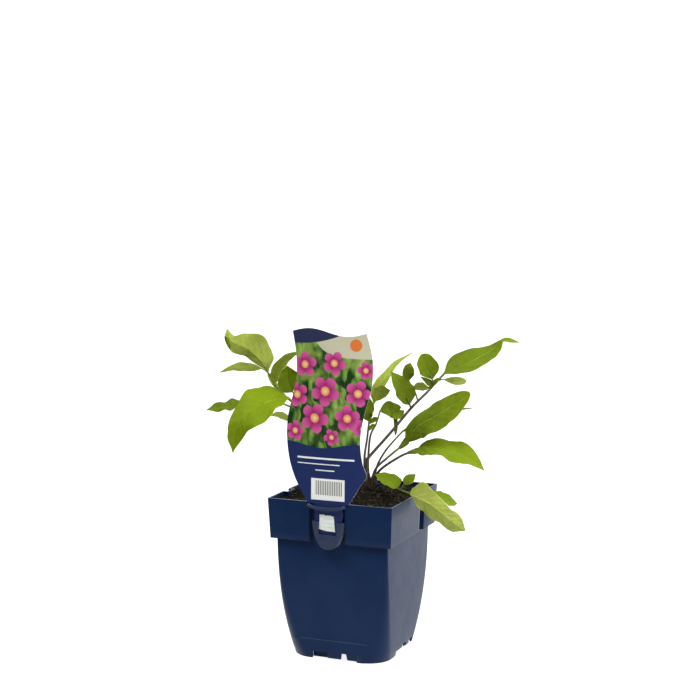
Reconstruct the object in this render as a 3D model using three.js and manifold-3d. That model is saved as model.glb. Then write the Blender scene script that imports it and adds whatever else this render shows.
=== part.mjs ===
// A potted persian cornflower: a square nursery pot with its soil, a plant label in the pot's front
// holder, and ten cut-leaved fronds from one crown. Millimetres, +Z up, origin under the pot's middle.
import * as THREE from "three";
import { mergeVertices } from "three/addons/utils/BufferGeometryUtils.js";
import Module from "manifold-3d";

const wasm = await Module();
wasm.setup();

// Pot: half widths of its square sections, heights above the feet
const potHeight = 135;
const rimHalf = 55;
const collarFootHalf = 53.4;
const collarFoot = 101;
const bodyTopHalf = 49.2;
const bodyBaseHalf = 42.5;
const bodyDraft = 0.047; // the body's lean, carried on up behind the collar
const potWall = 1.4;
const collarRadius = 1;
const bodyTopRadius = 1.2;
const bodyBaseRadius = 20;
const bodyBelly = 2.7; // how late the walls turn in towards the base
const cornerBelly = 1.6; // the same for the corners' radius
const bodyHeights = [0, 9, 20, 34, 54, 78, collarFoot, potHeight];
const cornerSteps = 5;

// Recess in each collar face: where it starts and ends along the front, right, back and left side
const recessSpans = [[-17.5, 13.4], [13.5, 24], [-16, 16], [13.5, 24]];

// Underside: skirt, base plate and drainage
// the skirt's gaps under the front and back, then under the sides: place and height of the edge
const longGap = [
  [-19.6, 1.3], [-19.3, 6], [-6.2, 6], [-6, 1.3], [5.7, 1.3], [6.6, 6.5], [10.7, 6.5], [11.5, 1.3], [20, 1.3],
];
const sideGap = [
  [-13, 0], [-12.3, 3.8], [1.4, 3.8], [1.8, 6.3], [9.6, 6.3], [10.2, 2.8], [16.3, 2.8], [17, 6.4], [27, 6.4],
];
const skirtWebs = { // ribs behind the gaps: start, end and foot
  inset: 3.4,
  thick: 1,
  long: [[-20.5, -5, 0.8]],
  side: [[0.5, 11, 2.6], [15.5, 27, 0.6]],
};
const basePlate = [6, 7.6];
const drainHole = { radius: 4.2, offset: 22, sides: 12 };
const centreFoot = { radius: 7, sides: 20 }; // holds up the middle of the base plate
const past = 2; // how far a cutter reaches past what it cuts
const bedded = 0.5; // how deep a rib is let into the piece it joins

// Label holder: a bowed bar under the rim and a pocket with a window
const bar = {
  middle: -2.1,
  half: 16.4,
  bow: 4.4,
  squareness: 6, // how evenly it stands off before its ends turn back
  bite: 0.4,
  thick: 1.7,
  tall: 2.2,
  endHeight: 132.5,
  sag: 1.9,
  steps: 16,
};
const pocket = {
  outline: [[2.6, 96.8], [6, 98.6], [8.8, 102.5], [11.8, 110], [13.6, 119.4]],
  front: 58.4,
  back: 48,
  inside: 50.1,
  wall: 1.1,
  innerRise: 0.4, // how far the inside's foot lies above the outside's, for each wall
  windowHalf: 8,
  windowFoot: 108.8,
};

// Soil
const soilGap = 0.3;
const soilLevel = 130.5;
const soilCells = 17;
const crown = { x: 10, y: 6, rise: 6.5, spread: 14 }; // a mound round the stalks
const bank = { x: -40, y: -12, rise: 2.2, spread: 17.3 }; // and one against the left wall
const lump = { rise: 0.9, alongX: 5.3, alongY: 6.1, bendX: 9, bendY: 11 };
const crumb = { rise: 0.5, alongX: 2.4, alongY: 2.9, skew: 4 };

// Label: height, left edge and right edge of each row, then its waved top
const labelPlane = -55.6;
const labelThick = 0.6;
const labelBow = 2.4;
const labelBowRise = 25;
const labelRows = [
  [98.4, -3.5, 3.5], [100, -5.5, 5.5], [104, -7.5, 7.5], [112, -9.5, 9.5], [122, -12, 12.4],
  [126, -12.3, 13], [130, -12.5, 12.5], [134, -12.6, 12.5], [134.6, -18.5, 18], [150, -28, 27],
  [159, -32.5, 32.5], [168, -35.5, 29.5],
  [180, -37.5, 27.5], [192, -38, 27.5], [204, -37, 29.5], [216, -34, 32.5], [228, -30.5, 36],
  [240, -28.5, 37.5], [252, -28.5, 37.5], [262, -29.5, 36],
];
const labelTop = { height: 274.8, wave: 2.9, left: -32, right: 32.5 };
const labelColumns = 6;
const sticker = {
  corners: [[-8.2, 113.3], [6.4, 111.7], [5.1, 124.9], [-7.4, 125.7]],
  thick: 0.3,
  gap: 0.3,
};

// Fronds
const bladeThick = 0.6;
const bladeStep = 5.5; // about this far along a blade's rib
const bladeSteps = [7, 12]; // fewest and most
const bladeHalves = 2; // steps from the rib to each edge
const bladeFold = 0.18; // how steeply the two halves stand up from the rib
const wavePhase = 0.35; // the left edge's waves lie this part of a wave ahead
const foldLevel = 0.45; // the part of a half's width where its fold crosses the rib's level
const stalkSides = 6;
const stalkSteps = 2; // to each stretch of a path
const holeGap = 0.35;

// Each frond: stalks are paths with a radius at the foot and at the end. A blade has its rib, its half
// widths left and right of the rib at even sevenths of its length, and the way its upper face looks.
const fronds = {
  frond_tall_left: {
    colour: 0x8fa32c,
    stalks: [
      { path: [[2.8, 5, 126], [2.8, 5, 140], [-3, 3, 159], [-21, -2, 179], [-43, -8, 201],
        [-55.5, -12, 212], [-65, -15, 222], [-70, -16.5, 231],
        [-73.5, -17.5, 238]], foot: 1, end: 0.6 },
      { path: [[-69.5, -16.5, 231], [-73.5, -17.5, 235.5], [-78, -19, 238]], foot: 0.6, end: 0.5 },
      { path: [[-61, -14, 217.5], [-63, -17.5, 221.5], [-64, -20.5, 226]], foot: 0.6, end: 0.5 },
      { path: [[-46, -9, 203], [-48.5, -13, 212], [-49, -17.5, 220]], foot: 0.6, end: 0.5 },
    ],
    blades: [
      { rib: [[-72, -15.5, 235], [-76.5, -19, 243], [-83.5, -24, 252], [-92, -30, 258.5],
        [-97.5, -36, 263.5], [-98, -40, 272]],
        left: [10, 13.5, 18, 12.5, 7, 3.7], right: [3.5, 6.5, 8.3, 9.5, 8, 4],
        face: [-0.5, 0.65, 0.6], wave: 0.7 },
      { rib: [[-76.5, -18.5, 237.5], [-83, -23, 238], [-90.5, -28, 239], [-97.5, -34, 238.5],
        [-106, -39, 235]],
        left: [3.5, 5.2, 5.9, 5.7, 4.3, 2.2], right: [3.5, 5.2, 5.9, 5.5, 4.1, 2.2],
        face: [-0.3, 0.65, 0.7], wave: 0.3 },
      { rib: [[-64, -20, 225], [-62.3, -23, 233.5], [-57, -25, 241.8], [-48, -27, 249.5],
        [-37, -26, 255]],
        left: [3, 4.2, 4.7, 4.5, 3.8, 2.2], right: [3, 4.2, 4.7, 4.5, 3.8, 2.2],
        face: [-0.45, 0.75, 0.5], wave: 0.35 },
      { rib: [[-49, -17, 218.5], [-49, -23, 226.5], [-49, -27, 235], [-48, -30, 242.5]],
        left: [4.5, 8, 9.5, 9, 7, 4], right: [4.5, 8, 9.5, 9.5, 8, 4.5],
        face: [0.4, -0.75, 0.5], wave: 0.7 },
    ],
  },
  frond_broad_left: {
    colour: 0x86a30f,
    stalks: [
      { path: [[5.8, 0.5, 126], [5.8, 0.5, 140], [-2, -1, 158], [-17, -11.5, 179], [-34.5, -22, 201],
        [-42, -26, 209], [-47.5, -28.5, 215.5]], foot: 1, end: 0.6 },
      { path: [[-34.5, -22, 201], [-41, -21, 198.7], [-48.5, -20, 195.8]], foot: 0.6, end: 0.5 },
    ],
    blades: [
      { rib: [[-47, -28, 215.5], [-56.5, -39, 215.5], [-65.5, -51, 211.5], [-75.5, -60, 202.5],
        [-80.5, -63, 188], [-82, -64, 172.5]],
        left: [11, 16.5, 23, 23.5, 14, 7.5], right: [14.5, 20.5, 18, 12.5, 8.5, 6],
        face: [-0.05, -0.65, 0.75], wave: 1.1 },
      { rib: [[-47.5, -20, 195.7], [-56, -19.5, 196.7], [-62.5, -18.5, 198], [-69.5, -17.5, 197.5]],
        left: [5, 7, 7, 5.6, 3.8, 2], right: [3.2, 4.4, 4.4, 3.8, 2.8, 1.5],
        face: [-0.1, 0.7, 0.7], wave: 0.25 },
    ],
  },
  frond_crumpled_left: {
    colour: 0x6f8a1a,
    stalks: [
      { path: [[3.5, 10, 126], [3.5, 10, 140], [-5.5, 8.5, 159], [-28.5, 6.5, 182], [-50, 1, 199],
        [-65.5, -6.5, 207], [-80.5, -12.8, 210.7]], foot: 1, end: 0.6 },
    ],
    blades: [
      { rib: [[-79, -12.5, 211], [-89, -15, 207], [-102, -18, 204.5], [-112, -23, 203.5],
        [-123, -31, 201]],
        left: [6, 6.5, 5.5, 5.5, 6, 5.5], right: [6.5, 7, 6.5, 7, 5.5, 5],
        face: [0.2, -0.5, 0.85], wave: 1.3, waves: 4 },
    ],
  },
  frond_tall_centre: {
    colour: 0x93a83a,
    stalks: [
      { path: [[6.4, 7.6, 126], [6.4, 7.6, 152], [5.5, 10, 164], [6, 14.5, 178], [7, 17, 193],
        [10.5, 19.5, 209]], foot: 1, end: 0.6 },
      { path: [[6, 15, 181], [6, 17, 188], [6.5, 17, 194]], foot: 0.6, end: 0.5 },
    ],
    blades: [
      { rib: [[10, 19, 207], [13, 22, 219], [19, 26, 230], [26, 31, 241], [38, 37, 250]],
        left: [4, 4.5, 3.8, 3.2, 2.4, 1.2], right: [5, 6, 5.5, 4.3, 3, 1.5],
        face: [-0.25, 0.75, 0.6], wave: 0.6 },
      { rib: [[6.3, 17, 192], [6.5, 14, 199], [8, 13, 206], [9, 12, 213]],
        left: [4, 5, 5.5, 5.5, 5, 3], right: [3, 4.5, 5, 5.5, 5, 3],
        face: [0.1, -0.75, 0.65], wave: 0.5 },
      { rib: [[10.5, 19, 209], [14.5, 17.5, 215], [20, 17, 219], [26, 16, 220]],
        left: [4.5, 6.5, 7, 7, 6, 3.5], right: [3.5, 5, 6.5, 7, 6.5, 4],
        face: [-0.3, 0.7, 0.65], wave: 0.6 },
      { rib: [[7, 17, 190], [10, 19.5, 193], [13.5, 21, 195]],
        left: [1.4, 2.2, 2.7, 2.7, 2.2, 1.4], right: [1.4, 2.2, 2.7, 2.7, 2.2, 1.4],
        face: [0, -0.7, 0.7], wave: 0.2 },
      { rib: [[6.4, 15.5, 184], [9, 18.5, 187.5], [11.5, 20.5, 189]],
        left: [1.2, 1.9, 2.3, 2.3, 1.9, 1.2], right: [1.2, 1.9, 2.3, 2.3, 1.9, 1.2],
        face: [0, -0.7, 0.7], wave: 0.2 },
    ],
  },
  frond_short_centre: {
    colour: 0x5d7a12,
    stalks: [
      { path: [[9.6, 11, 126], [9.6, 11, 140], [8, 11.5, 155], [9.5, 12.5, 179.5], [14, 14.5, 190.5],
        [17.5, 15.1, 202]], foot: 1, end: 0.6 },
    ],
    blades: [
      { rib: [[17, 15, 201.5], [23.5, 15, 205], [28, 18, 203], [32.5, 20, 199.5], [37, 21, 202.5]],
        left: [4, 6, 6.5, 6.5, 5.5, 3.5], right: [5.5, 8, 8.5, 7.5, 6, 4],
        face: [0.25, -0.7, 0.65], wave: 0.6 },
      { rib: [[29, 18.4, 202.5], [29.8, 19.2, 195], [30, 19.6, 188], [29.5, 20, 181]],
        left: [1.5, 1.7, 1.7, 1.6, 1.6, 1.2], right: [1.5, 1.7, 1.7, 1.6, 1.6, 1.2],
        face: [0.4, -0.8, 0.2], wave: 0.2 },
    ],
  },
  frond_long_right: {
    colour: 0x7f9a14,
    stalks: [
      { path: [[9.4, 3.6, 126], [9.4, 3.6, 140], [10, 4, 160], [12, 5.3, 164.5], [27.5, 13, 184],
        [43.5, 19.5, 205], [56.5, 24, 219], [62.5, 25.7, 226],
        [70.5, 28.5, 235.5]], foot: 1.2, end: 0.8 },
      { path: [[61, 25, 224], [61.5, 23, 229], [60.5, 20, 234]], foot: 0.7, end: 0.5 },
      { path: [[59.5, 24.7, 222.5], [58.5, 25.6, 223], [56.5, 26, 222.7]], foot: 0.6, end: 0.5 },
      { path: [[64.5, 26.5, 228.5], [68, 26, 229.7], [72, 25.5, 230]], foot: 0.6, end: 0.5 },
      { path: [[43.5, 19.5, 205], [43, 16.5, 210], [42, 14, 215]], foot: 0.7, end: 0.5 },
      { path: [[49, 21.5, 211], [45, 24.5, 219], [39, 26, 227.5]], foot: 0.6, end: 0.5 },
    ],
    blades: [
      { rib: [[69, 28, 234], [82, 33, 242], [98, 38, 250], [111, 42, 258], [117, 45, 263],
        [128, 51, 261]],
        left: [13.5, 12, 9.5, 4.5, 2.2, 2.6], right: [10, 15, 16, 9.5, 2.6, 2],
        face: [-0.1, -0.6, 0.8], wave: 1.1 },
      { rib: [[61.5, 22.5, 230], [59, 20, 237], [57, 15.5, 245], [55, 12, 252]],
        left: [3.5, 6.5, 8.5, 8.7, 8, 6.5], right: [7, 10.5, 10.5, 9.5, 8, 6],
        face: [0.5, -0.7, 0.5], wave: 0.6 },
      { rib: [[57, 26, 222.5], [51, 26, 222.5], [43.5, 25.5, 221]],
        left: [3.4, 5.1, 5.6, 5.6, 5, 3.4], right: [2.8, 4, 4.5, 4.5, 4.5, 3.4],
        face: [-0.25, 0.6, 0.75], wave: 0.25 },
      { rib: [[70.5, 25.5, 230], [79.5, 25, 229], [90.5, 24.5, 230.5]],
        left: [2.8, 4.4, 5, 5, 4.4, 3], right: [2.4, 3.8, 4.5, 4.7, 4.3, 3],
        face: [-0.25, 0.6, 0.75], wave: 0.15 },
      { rib: [[43, 17.5, 208], [41, 13, 216], [38, 8.5, 227], [31, 4, 237.5]],
        left: [4, 6.5, 8, 8.5, 7.5, 4.5], right: [10, 11.5, 10.5, 8.5, 6, 3.5],
        face: [0.6, -0.65, 0.5], wave: 0.9 },
      { rib: [[39, 26, 227], [38.5, 25, 231.5], [39.5, 24.5, 238], [40.5, 26, 242.5]],
        left: [3.5, 4.8, 5, 4.8, 4, 2.5], right: [3.5, 4.8, 5.2, 5, 4.2, 2.6],
        face: [0.5, -0.7, 0.5], wave: 0.25 },
      { rib: [[57, 24, 219.7], [61.7, 25.3, 226.2], [66.5, 27, 231]],
        left: [1.5, 2.4, 2.9, 3, 2.8, 2.2], right: [1.5, 2.4, 2.8, 2.9, 2.7, 2.2],
        face: [-0.3, -0.7, 0.6], wave: 0.2 },
      { rib: [[61, 24.8, 224.2], [57, 23.8, 228], [50.7, 23.2, 231.6]],
        left: [2, 3, 3, 2.6, 1.8, 1], right: [2, 2.6, 2.6, 2.2, 1.6, 1],
        face: [0.2, -0.75, 0.6], wave: 0.2 },
    ],
  },
  frond_hidden_right: {
    colour: 0x6f8a1a,
    stalks: [
      { path: [[13.4, 10.4, 126], [13.4, 10.4, 140], [16, 12, 155], [21, 15, 166], [27, 17.7, 174.5],
        [36.5, 20.2, 185.5]], foot: 0.9, end: 0.6 },
    ],
    blades: [
      { rib: [[35.5, 20, 184.5], [54, 25, 195], [74, 32, 203], [91.5, 37, 205.5]],
        left: [3, 5, 5.5, 4.5, 3, 1], right: [4, 6, 6.5, 5.5, 3.5, 1],
        face: [0.1, -0.75, 0.65], wave: 0.8 },
    ],
  },
  frond_dark_right: {
    colour: 0x648a0c,
    stalks: [
      { path: [[13, 6.2, 126], [13, 6.2, 140], [17, 6, 153.5], [26, 8.5, 163],
        [42, 12.6, 177]], foot: 1, end: 0.7 },
    ],
    blades: [
      { rib: [[41, 12.5, 176], [50.5, 13, 190.5], [64, 14, 199.5], [79, 16, 209], [96, 18, 221]],
        left: [6.5, 7.5, 9.5, 9.8, 9.8, 8.5], right: [9, 14, 15.5, 15.5, 15, 10],
        leftTip: 1.5, rightTip: 1.5, face: [0, -0.8, 0.6], wave: 1 },
      { rib: [[35, 10.7, 171], [38.6, 11.6, 174], [42, 12.6, 177.2]],
        left: [1.1, 1.7, 2.1, 2.3, 2.4, 2.4], right: [1.1, 1.7, 2.1, 2.3, 2.4, 2.4],
        face: [0, -0.8, 0.6], wave: 0.1 },
    ],
  },
  frond_arching_right: {
    colour: 0x86a30f,
    stalks: [
      { path: [[17, 7.2, 126], [17, 7.2, 140], [20, 6.2, 152], [36.5, 8.5, 164.5], [47, 9.5, 169.5],
        [52, 9.8, 170.3]], foot: 1, end: 0.7 },
    ],
    blades: [
      { rib: [[50.5, 9.8, 170], [64, 9, 175], [82, 10, 174], [99, 11, 168], [110.5, 13, 158]],
        left: [7, 8.5, 10, 11, 9.5, 5], right: [8.5, 10, 11, 13.5, 11.5, 5],
        face: [0.3, -0.5, 0.8], wave: 1.2 },
      { rib: [[42, 9.2, 167.7], [47, 9.5, 169.5], [52, 9.8, 170.4]],
        left: [1, 1.6, 2, 2.3, 2.5, 2.6], right: [1, 1.6, 2, 2.3, 2.5, 2.6],
        face: [0.3, -0.5, 0.8], wave: 0.1 },
    ],
  },
  frond_drooping_right: {
    colour: 0x9fb05a,
    stalks: [
      { path: [[17.6, 2.4, 126], [17.6, 2.4, 138], [23.5, 1, 142.2], [32, -1.5, 142], [44, -7, 140],
        [55, -11.5, 138.5]], foot: 1, end: 0.7 },
      { path: [[44, -7, 140], [46, -6, 143], [47, -5.5, 145.5]], foot: 0.6, end: 0.5 },
      { path: [[50, -9.5, 139.2], [58, -5.5, 139.8], [68, 0.6, 138.4]], foot: 0.6, end: 0.5 },
    ],
    blades: [
      { rib: [[54.5, -11, 138.5], [67.6, -9, 134], [79, -6, 126], [90, -4, 117], [99.5, -1.5, 110]],
        left: [12, 14.5, 15, 14, 12.5, 11], right: [16.5, 12, 9, 8.5, 8.5, 6.5],
        rightFoot: 6, leftTip: 2, face: [-0.05, 0.85, 0.5], wave: 0.8 },
      { rib: [[40.5, -5.4, 140.5], [36, -6, 146.5], [29, -5.5, 149.5], [21, -5, 151]],
        left: [4.5, 6.5, 8.5, 8, 6.5, 3.5], right: [8.5, 8.5, 8, 7, 6, 4],
        face: [0.3, -0.45, 0.85], wave: 0.4 },
      { rib: [[47, -5.5, 145], [50, -4, 149], [55, 0, 153]],
        left: [2.5, 3.5, 4, 4, 3.5, 2], right: [2.5, 4, 4.5, 5, 4.5, 2.5],
        face: [0.25, -0.6, 0.75], wave: 0.2 },
      { rib: [[67.4, 0.5, 138.5], [75.3, 5.5, 135.3], [81.5, 10.5, 132], [86.1, 16, 127.6]],
        left: [3, 5, 5.5, 5, 4, 2.5], right: [4, 7, 8.5, 9, 8, 5],
        face: [0.4, -0.4, 0.85], wave: 0.5 },
      { rib: [[31, -1.2, 142], [43.5, -6.8, 140], [54, -11, 138.6]],
        left: [1.7, 3, 3.9, 4.4, 4.3, 3.2], right: [0.7, 0.8, 0.8, 0.8, 0.8, 0.7],
        face: [-0.05, 0.75, 0.6], wave: 0.15 },
    ],
  },
};

const colours = { pot: 0x1f3560, soil: 0x1d1611, label: 0x27407c, sticker: 0xe4e8e0 };

const clamp = (value, low, high) => Math.min(high, Math.max(low, value));
const mix = (a, b, t) => a + (b - a) * t;

// Closed indexed geometry from points and triangles
function meshOf(points, faces) {
  const geometry = new THREE.BufferGeometry();
  geometry.setAttribute("position", new THREE.Float32BufferAttribute(points.flatMap((p) => p.toArray()), 3));
  geometry.setIndex(faces.flat());
  return geometry;
}

function toSolid(geometry) {
  const bare = geometry.clone();
  bare.deleteAttribute("normal");
  bare.deleteAttribute("uv");
  const merged = mergeVertices(bare, 1e-4);
  return new wasm.Manifold(new wasm.Mesh({
    numProp: 3,
    vertProperties: Float32Array.from(merged.attributes.position.array),
    triVerts: Uint32Array.from(merged.index.array),
  }));
}

function toGeometry(solid) {
  const mesh = solid.getMesh();
  const geometry = new THREE.BufferGeometry();
  geometry.setAttribute("position", new THREE.BufferAttribute(new Float32Array(mesh.vertProperties), 3));
  geometry.setIndex(new THREE.BufferAttribute(new Uint32Array(mesh.triVerts), 1));
  return geometry;
}

const fuse = (solids) => solids.reduce((all, one) => all.add(one));

// Rings of equal length, joined in order and closed by a fan at each end
function loft(rings) {
  const count = rings[0].length;
  const points = rings.flat();
  const faces = [];
  for (let i = 0; i + 1 < rings.length; i++) {
    for (let j = 0; j < count; j++) {
      const next = (j + 1) % count;
      const [a, b, c, d] = [i * count + j, i * count + next, (i + 1) * count + next, (i + 1) * count + j];
      faces.push([a, b, c], [a, c, d]);
    }
  }
  [0, rings.length - 1].forEach((end) => {
    const middle = new THREE.Vector3();
    rings[end].forEach((p) => middle.addScaledVector(p, 1 / count));
    points.push(middle);
    for (let j = 0; j < count; j++) {
      const [a, b] = [end * count + j, end * count + ((j + 1) % count)];
      faces.push(end === 0 ? [points.length - 1, b, a] : [points.length - 1, a, b]);
    }
  });
  return toSolid(meshOf(points, faces));
}

function boxSolid(x0, x1, y0, y1, z0, z1) {
  const geometry = new THREE.BoxGeometry(x1 - x0, y1 - y0, z1 - z0);
  geometry.translate((x0 + x1) / 2, (y0 + y1) / 2, (z0 + z1) / 2);
  return toSolid(geometry);
}

function uprightSolid(x, y, z0, z1, radius, sides) {
  const geometry = new THREE.CylinderGeometry(radius, radius, z1 - z0, sides);
  geometry.rotateX(Math.PI / 2);
  geometry.translate(x, y, (z0 + z1) / 2);
  return toSolid(geometry);
}

// An outline in x and z, pushed through from y0 to y1
function plateSolid(shape, y0, y1) {
  const geometry = new THREE.ExtrudeGeometry(shape, { depth: y1 - y0, bevelEnabled: false });
  geometry.rotateX(Math.PI / 2);
  geometry.translate(0, y1, 0);
  return toSolid(geometry);
}

// The solid between two grids of points, split into triangles alike on both faces
function slab(over, below) {
  const [rows, columns] = [over.length, over[0].length];
  const under = rows * columns;
  const at = (i, j) => i * columns + j;
  const faces = [];
  for (let i = 0; i + 1 < rows; i++) {
    for (let j = 0; j + 1 < columns; j++) {
      const [a, b, c, d] = [at(i, j), at(i, j + 1), at(i + 1, j + 1), at(i + 1, j)];
      faces.push([a, b, c], [a, c, d]);
      faces.push([a + under, c + under, b + under], [a + under, d + under, c + under]);
    }
  }
  const run = (count, place) => Array.from({ length: count - 1 }, (_, k) => place(k));
  const rim = [
    ...run(columns, (k) => at(0, k)),
    ...run(rows, (k) => at(k, columns - 1)),
    ...run(columns, (k) => at(rows - 1, columns - 1 - k)),
    ...run(rows, (k) => at(rows - 1 - k, 0)),
  ];
  rim.forEach((a, k) => {
    const b = rim[(k + 1) % rim.length];
    faces.push([a, a + under, b + under], [a, b + under, b]);
  });
  return toSolid(meshOf([...over.flat(), ...below.flat()], faces));
}

// A thin sheet of even thickness about a grid of middle points
function sheet(grid, thick) {
  const [lastRow, lastColumn] = [grid.length - 1, grid[0].length - 1];
  const normal = (i, j) => {
    const along = grid[Math.min(i + 1, lastRow)][j].clone().sub(grid[Math.max(i - 1, 0)][j]);
    const across = grid[i][Math.min(j + 1, lastColumn)].clone().sub(grid[i][Math.max(j - 1, 0)]);
    return across.cross(along).normalize();
  };
  const moved = (by) => grid.map((row, i) =>
    row.map((p, j) => p.clone().addScaledVector(normal(i, j), by)));
  return slab(moved(thick / 2), moved(-thick / 2));
}

const curveThrough = (list) =>
  new THREE.CatmullRomCurve3(list.map((p) => new THREE.Vector3(...p)), false, "catmullrom", 0.5);

// A value between evenly spaced ones, on a smooth curve
function along(values, t) {
  const last = values.length - 1;
  const s = clamp(t, 0, 1) * last;
  const i = Math.min(Math.floor(s), last - 1);
  const w = s - i;
  const [b, c] = [values[i], values[i + 1]];
  const a = i > 0 ? values[i - 1] : b;
  const d = i + 2 <= last ? values[i + 2] : c;
  return b + 0.5 * w * (c - a + w * (2 * a - 5 * b + 4 * c - d + w * (3 * (b - c) + d - a)));
}

// Square section with round corners, corner arcs of equal steps
function squareRing(half, radius, z) {
  const ring = [];
  for (let corner = 0; corner < 4; corner++) {
    const turn = (corner * Math.PI) / 2;
    for (let k = 0; k <= cornerSteps; k++) {
      const angle = turn + ((k / cornerSteps) * Math.PI) / 2;
      const reach = half - radius;
      const x = reach * Math.sign(Math.cos(turn + Math.PI / 4)) + radius * Math.cos(angle);
      const y = reach * Math.sign(Math.sin(turn + Math.PI / 4)) + radius * Math.sin(angle);
      ring.push(new THREE.Vector3(x, y, z));
    }
  }
  return ring;
}

// Half width and corner radius of the pot's body at a height
function bodySection(z) {
  const depth = clamp(1 - z / collarFoot, 0, 1);
  const half = mix(bodyTopHalf, bodyBaseHalf, depth ** bodyBelly) + bodyDraft * Math.max(0, z - collarFoot);
  const radius = mix(bodyTopRadius, bodyBaseRadius, depth ** cornerBelly);
  return { half, radius };
}

function bodySolid(from, to, inset) {
  const heights = bodyHeights.filter((z) => z > from && z < to);
  return loft([from, ...heights, to].map((z) => {
    const { half, radius } = bodySection(z);
    return squareRing(half - inset, Math.max(radius - inset, 1), z);
  }));
}

function collarSolid(from, to, inset) {
  const half = (z) => mix(collarFootHalf, rimHalf, (z - collarFoot) / (potHeight - collarFoot)) - inset;
  return loft([from, to].map((z) => squareRing(half(z), Math.max(collarRadius - inset, 1), z)));
}

// One solid to each side, made for the front and turned on to its own side
const onSides = (solids) => solids.map((solid, side) => solid.rotate([0, 0, 90 * side]));

// The blocks that stand for the collar's recesses, their floors on the body's own draft
function recessBlocks(grow) {
  const floor = (z) => bodyTopHalf + bodyDraft * (z - collarFoot) - grow;
  const outside = rimHalf + past;
  return fuse(onSides(recessSpans.map(([start, end]) => {
    const [low, high] = [start - grow, end + grow];
    const ring = (z) => [[low, -outside], [high, -outside], [high, -floor(z)], [low, -floor(z)]]
      .map(([x, y]) => new THREE.Vector3(x, y, z));
    return loft([ring(collarFoot - past), ring(potHeight + past)]);
  })));
}

function skirtCuts() {
  const cut = (edge) => {
    const points = [[edge[0][0], -past], ...edge, [edge[edge.length - 1][0], -past]];
    const shape = new THREE.Shape(points.map(([x, z]) => new THREE.Vector2(x, z)));
    return plateSolid(shape, -bodyBaseHalf - past, -bodyBaseHalf + potWall + past / 2);
  };
  return onSides([longGap, sideGap, longGap, sideGap].map(cut));
}

function webSolids() {
  const { inset, thick, long, side } = skirtWebs;
  const middle = -bodyBaseHalf + inset;
  const top = basePlate[0] + bedded;
  const web = ([start, end, foot]) => boxSolid(start, end, middle - thick / 2, middle + thick / 2, foot, top);
  return onSides([long, side, long, side].map((webs) => fuse(webs.map(web))));
}

function plateHoles() {
  const places = [[1, 0], [1, 1], [0, 1], [-1, 1], [-1, 0], [-1, -1], [0, -1], [1, -1]];
  const { radius, offset, sides } = drainHole;
  const [low, high] = [basePlate[0] - past, basePlate[1] + past];
  return places.map(([x, y]) => uprightSolid(x * offset, y * offset, low, high, radius, sides));
}

function barSolid() {
  const rings = [];
  for (let k = 0; k <= bar.steps; k++) {
    const share = mix(-1, 1, k / bar.steps);
    const x = bar.middle + bar.half * share;
    const y = -(rimHalf - bar.bite + bar.bow * (1 - share ** bar.squareness));
    const z = bar.endHeight - bar.sag * (1 - share ** 2);
    const [dy, dz] = [bar.thick / 2, bar.tall / 2];
    rings.push([[dy, -dz], [-dy, -dz], [-dy, dz], [dy, dz]]
      .map(([oy, oz]) => new THREE.Vector3(x, y + oy, z + oz)));
  }
  return loft(rings.map((ring) => ring.reverse()));
}

function pocketShape(inset) {
  const right = pocket.outline.map(([x, z]) => new THREE.Vector2(x - inset, z + inset * pocket.innerRise));
  const top = right[right.length - 1].y + inset;
  const shape = new THREE.Shape();
  shape.moveTo(-right[0].x, right[0].y);
  shape.lineTo(right[0].x, right[0].y);
  shape.splineThru(right.slice(1));
  if (inset > 0) shape.lineTo(right[right.length - 1].x, top);
  if (inset > 0) shape.lineTo(-right[right.length - 1].x, top);
  const left = right.map((p) => new THREE.Vector2(-p.x, p.y)).reverse();
  shape.lineTo(left[0].x, left[0].y);
  shape.splineThru(left.slice(1));
  return shape;
}

function pocketSolid() {
  const { front, inside, back, wall, windowHalf, windowFoot } = pocket;
  const outer = plateSolid(pocketShape(0), -front, -back);
  const inner = plateSolid(pocketShape(wall), -front + wall, -inside);
  const [outside, inWindow] = [-front - past, -front + wall + past];
  const window = boxSolid(-windowHalf, windowHalf, outside, inWindow, windowFoot, potHeight);
  return outer.subtract(inner).subtract(window);
}

function makePot() {
  const body = bodySolid(0, collarFoot + 1, 0);
  const ledge = collarFoot + potWall;
  const backing = bodySolid(collarFoot, potHeight, 0);
  const collar = collarSolid(collarFoot, potHeight, 0).subtract(recessBlocks(0));
  const shell = fuse([body, backing, collar]);
  const collarCavity = collarSolid(ledge, potHeight + past, potWall).subtract(recessBlocks(potWall));
  const bodyCavity = bodySolid(basePlate[1], potHeight + past, potWall);
  const underside = bodySolid(-past, basePlate[0], potWall);
  let pot = shell.subtract(collarCavity).subtract(bodyCavity).subtract(underside);
  const inWall = bodySolid(basePlate[0], potHeight, potWall / 2);
  pot = pot.add(barSolid()).add(pocketSolid().subtract(inWall));
  pot = pot.add(uprightSolid(0, 0, 0, basePlate[1], centreFoot.radius, centreFoot.sides));
  [...skirtCuts(), ...plateHoles()].forEach((cut) => { pot = pot.subtract(cut); });
  return pot.add(fuse(webSolids()));
}

const mound = ({ x, y, rise, spread }, px, py) =>
  rise * Math.exp(-((px - x) ** 2 + (py - y) ** 2) / spread ** 2);

// Height of the soil: two mounds, with lumps and crumbs from crossed waves
function soilHeight(x, y) {
  const lumps = Math.sin(x / lump.alongX + Math.sin(y / lump.bendX))
    * Math.cos(y / lump.alongY + Math.sin(x / lump.bendY));
  const crumbs = Math.sin(x / crumb.alongX + y / crumb.skew) * Math.sin(y / crumb.alongY - x / crumb.skew);
  return soilLevel + mound(crown, x, y) + mound(bank, x, y) + lump.rise * lumps + crumb.rise * crumbs;
}

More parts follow.
